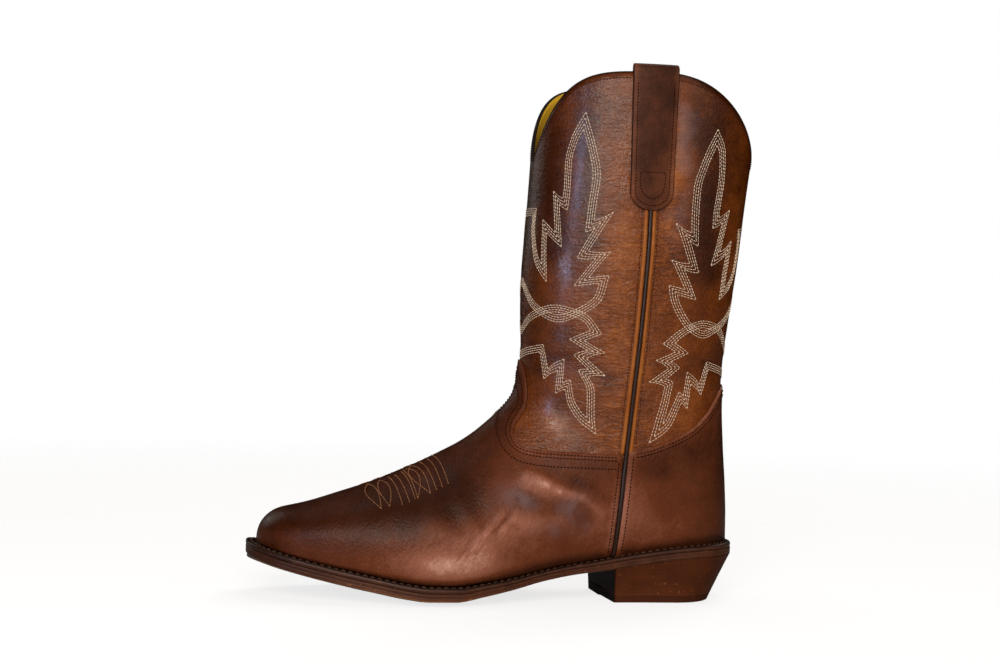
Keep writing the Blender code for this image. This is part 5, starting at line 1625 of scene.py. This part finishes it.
def heel_block(low, high, levels):
    """A closed block between two heights: its side level by level, both ends drawn in to the middle line."""
    rings = [heel_ring(low, share) for share in (0.0, 0.5)]
    rings += [heel_ring(between(low, high, part)) for part in np.linspace(0, 1, levels)]
    rings = np.array(rings + [heel_ring(high, share) for share in (0.5, 0.0)])
    return rings.reshape(-1, 3), grid_faces(len(rings), rings.shape[1], ring=True)


def level(height):
    """A height function that is the same everywhere."""
    return lambda seat: 0 * seat + height


print("heel outline:", len(heel_ring(level(0.0))), "points")

# %% Heel lifts
# Stacked leather: lifts of bend leather pegged together, sanded, stained dark and waxed; knocks show the
# paler fibre.
heel_leather = sole_leather(
    "stacked_leather_stained",
    ((0.0, "#080302"), (0.35, "#32170a"), (0.6, "#4d2612"), (1.0, "#82502f")),
    ((0.3, "#2a150c"), (0.7, "#4a2b1a")), 0.55, mottle=0.22,
)
# Top lift: black-brown rubber, moulded and trimmed, matt.
lift_rubber = sole_leather(
    "top_lift_rubber",
    ((0.0, "#080302"), (0.5, "#3c1d0e"), (1.0, "#6b4024")),
    ((0.3, "#120c0a"), (0.7, "#251812")), 0.65, mottle=0.2,
)
points, faces = heel_block(level(TOP_LIFT + 0.12), lambda seat: seat, 30)
heel = make_piece("heel_lifts", points, faces, heel_leather, "heel", ["heel_stack"], closed=True, sharp=40)
x, y, z = places(heel)
# painted shade: the breast, facing the arch, is painted near black
paint(heel, "tone", 0.49 + 0.06 * smoothstep(12, 6, z) - 0.54 * smoothstep(66.5, 65.5, x))
points, faces = heel_block(level(0.0), level(TOP_LIFT), 8)
lift = make_piece("top_lift", points, faces, lift_rubber, "lift", ["heel_top_lift"], closed=True, sharp=40)
x, y, z = places(lift)
# painted shade on the top lift's breast too, near black
paint(lift, "tone", 0.50 + 0.25 * smoothstep(4.3, 4.9, z) - 0.50 * smoothstep(66.8, 65.8, x))
print("heel:", len(heel.data.polygons), "faces in the stack,", len(lift.data.polygons), "in the top lift")

# %% [markdown]
# ## Floor, light and camera
# The photograph is a plain studio picture on white. A pale round floor fades out at its rim into a white
# world, which lights nothing itself: soft boxes do, a warm one over the camera's left, three small cool
# panes that draw the broken bluish streak down the shaft, and weak ones behind so that the other sides
# can be seen.

# %% Floor
FLOOR_RADIUS, FLOOR_DROP = 1.6, 0.0004


def floor_disc(radius, rings=24, around=96):
    """A flat disc: rings of points at radius * t, with t from 0 to 1, and its quads."""
    t = np.linspace(0, 1, rings)[:, None]
    turn = np.linspace(0, 2 * math.pi, around, endpoint=False)[None, :]
    points = np.stack([radius * t * np.cos(turn), radius * t * np.sin(turn), 0 * t * turn], axis=-1)
    return points.reshape(-1, 3), grid_faces(rings, around, ring=True)


points, faces = floor_disc(FLOOR_RADIUS)
mesh = bpy.data.meshes.new("floor")
mesh.from_pydata(points.tolist(), [], faces.tolist())
floor = bpy.data.objects.new("floor", mesh)
floor.location.z = -FLOOR_DROP
bpy.context.scene.collection.objects.link(floor)
# Studio paper: matt white, glowing a little so that it stays white, and clear towards its rim.
paper, tree, shader = new_finish("white_studio_paper")
place = add(tree, "ShaderNodeTexCoord").outputs["Object"]
away = add(tree, "ShaderNodeVectorMath", {0: place}, operation="LENGTH")
fade = add(
    tree, "ShaderNodeMapRange",
    {"Value": away.outputs["Value"], "From Min": 0.35, "From Max": 1.5, "To Min": 0.32, "To Max": 0.0},
)
shader.inputs["Base Color"].default_value = linear("#f4f3f1")
shader.inputs["Roughness"].default_value = 0.9
shader.inputs["Emission Color"].default_value = (1.0, 1.0, 1.0, 1.0)
shader.inputs["Emission Strength"].default_value = 0.25
shader.inputs["Specular IOR Level"].default_value = 0.0
tree.links.new(fade.outputs["Result"], shader.inputs["Alpha"])
mesh.materials.append(paper)
print("floor of", FLOOR_RADIUS, "m radius")

# %% World
world = bpy.data.worlds.new("white_studio")
bpy.context.scene.world = world
world.use_nodes = True
world.node_tree.nodes["Background"].inputs["Color"].default_value = (1.0, 1.0, 1.0, 1.0)
world.node_tree.nodes["Background"].inputs["Strength"].default_value = 1.0
world.cycles_visibility.diffuse = False
world.cycles_visibility.glossy = False
bpy.context.scene.view_settings.view_transform = "Standard"
print("white world behind the boot")

# %% Lights
AIM = Vector((-0.0026, 0.0, 0.1627))
LIGHTS = (  # name, place, width, height, watts, colour
    ("key", (-0.37, -1.50, 0.68), 0.90, 0.64, 29.0, "#fff4e8"),
    ("cool_upper_pane", (-0.87, -0.96, 0.37), 0.14, 0.20, 2.0, "#bccdff"),
    ("cool_middle_pane", (-0.98, -0.86, 0.22), 0.08, 0.07, 1.0, "#c8d6ff"),
    ("cool_lower_pane", (-1.02, -0.80, 0.07), 0.12, 0.12, 1.2, "#c8d6ff"),
    ("fill", (1.05, -1.25, 0.55), 0.80, 0.80, 3.5, "#fff2e6"),
    ("top", (0.1, 0.2, 1.45), 1.00, 1.00, 6.0, "#ffffff"),
    ("back_left", (-0.9, 1.15, 0.75), 0.80, 0.80, 3.0, "#fff6ee"),
    ("back_right", (0.95, 1.05, 1.45), 0.80, 0.80, 11.0, "#fff6ee"),
)
for name, place, width, height, watts, colour in LIGHTS:
    data = bpy.data.lights.new(name, "AREA")
    data.shape, data.size, data.size_y, data.energy = "RECTANGLE", width, height, watts
    data.color = linear(colour)[:3]
    lamp = bpy.data.objects.new(name, data)
    lamp.location = place
    lamp.rotation_mode = "QUATERNION"
    lamp.rotation_quaternion = (AIM - Vector(place)).to_track_quat("-Z", "Y")
    bpy.context.scene.collection.objects.link(lamp)
print("lights:", [light[0] for light in LIGHTS])

# %% Camera
AZIMUTH, ROLL = math.radians(-10.5), math.radians(1.75)
DISTANCE, METRES_PER_PIXEL, IMAGE_WIDTH = 1.1, 0.000621, 1000
back = Vector((math.sin(AZIMUTH), -math.cos(AZIMUTH), 0.0))
right = Vector((math.cos(AZIMUTH), math.sin(AZIMUTH), 0.0))
turn = Matrix((right, Vector((0, 0, 1)), back)).transposed() @ Matrix.Rotation(ROLL, 3, "Z")
data = bpy.data.cameras.new("camera")
data.sensor_width = 36.0
data.lens = DISTANCE / METRES_PER_PIXEL / IMAGE_WIDTH * data.sensor_width
camera = bpy.data.objects.new("camera", data)
camera.matrix_world = Matrix.Translation(AIM + back * DISTANCE) @ turn.to_4x4()
bpy.context.scene.collection.objects.link(camera)
bpy.context.scene.camera = camera
print("camera lens", round(data.lens, 1), "mm")

# %% [markdown]
# ## Update
# The view layer is brought up to date. The leather must not outgrow the solids that it dresses.

# %% Update
bpy.context.view_layer.update()
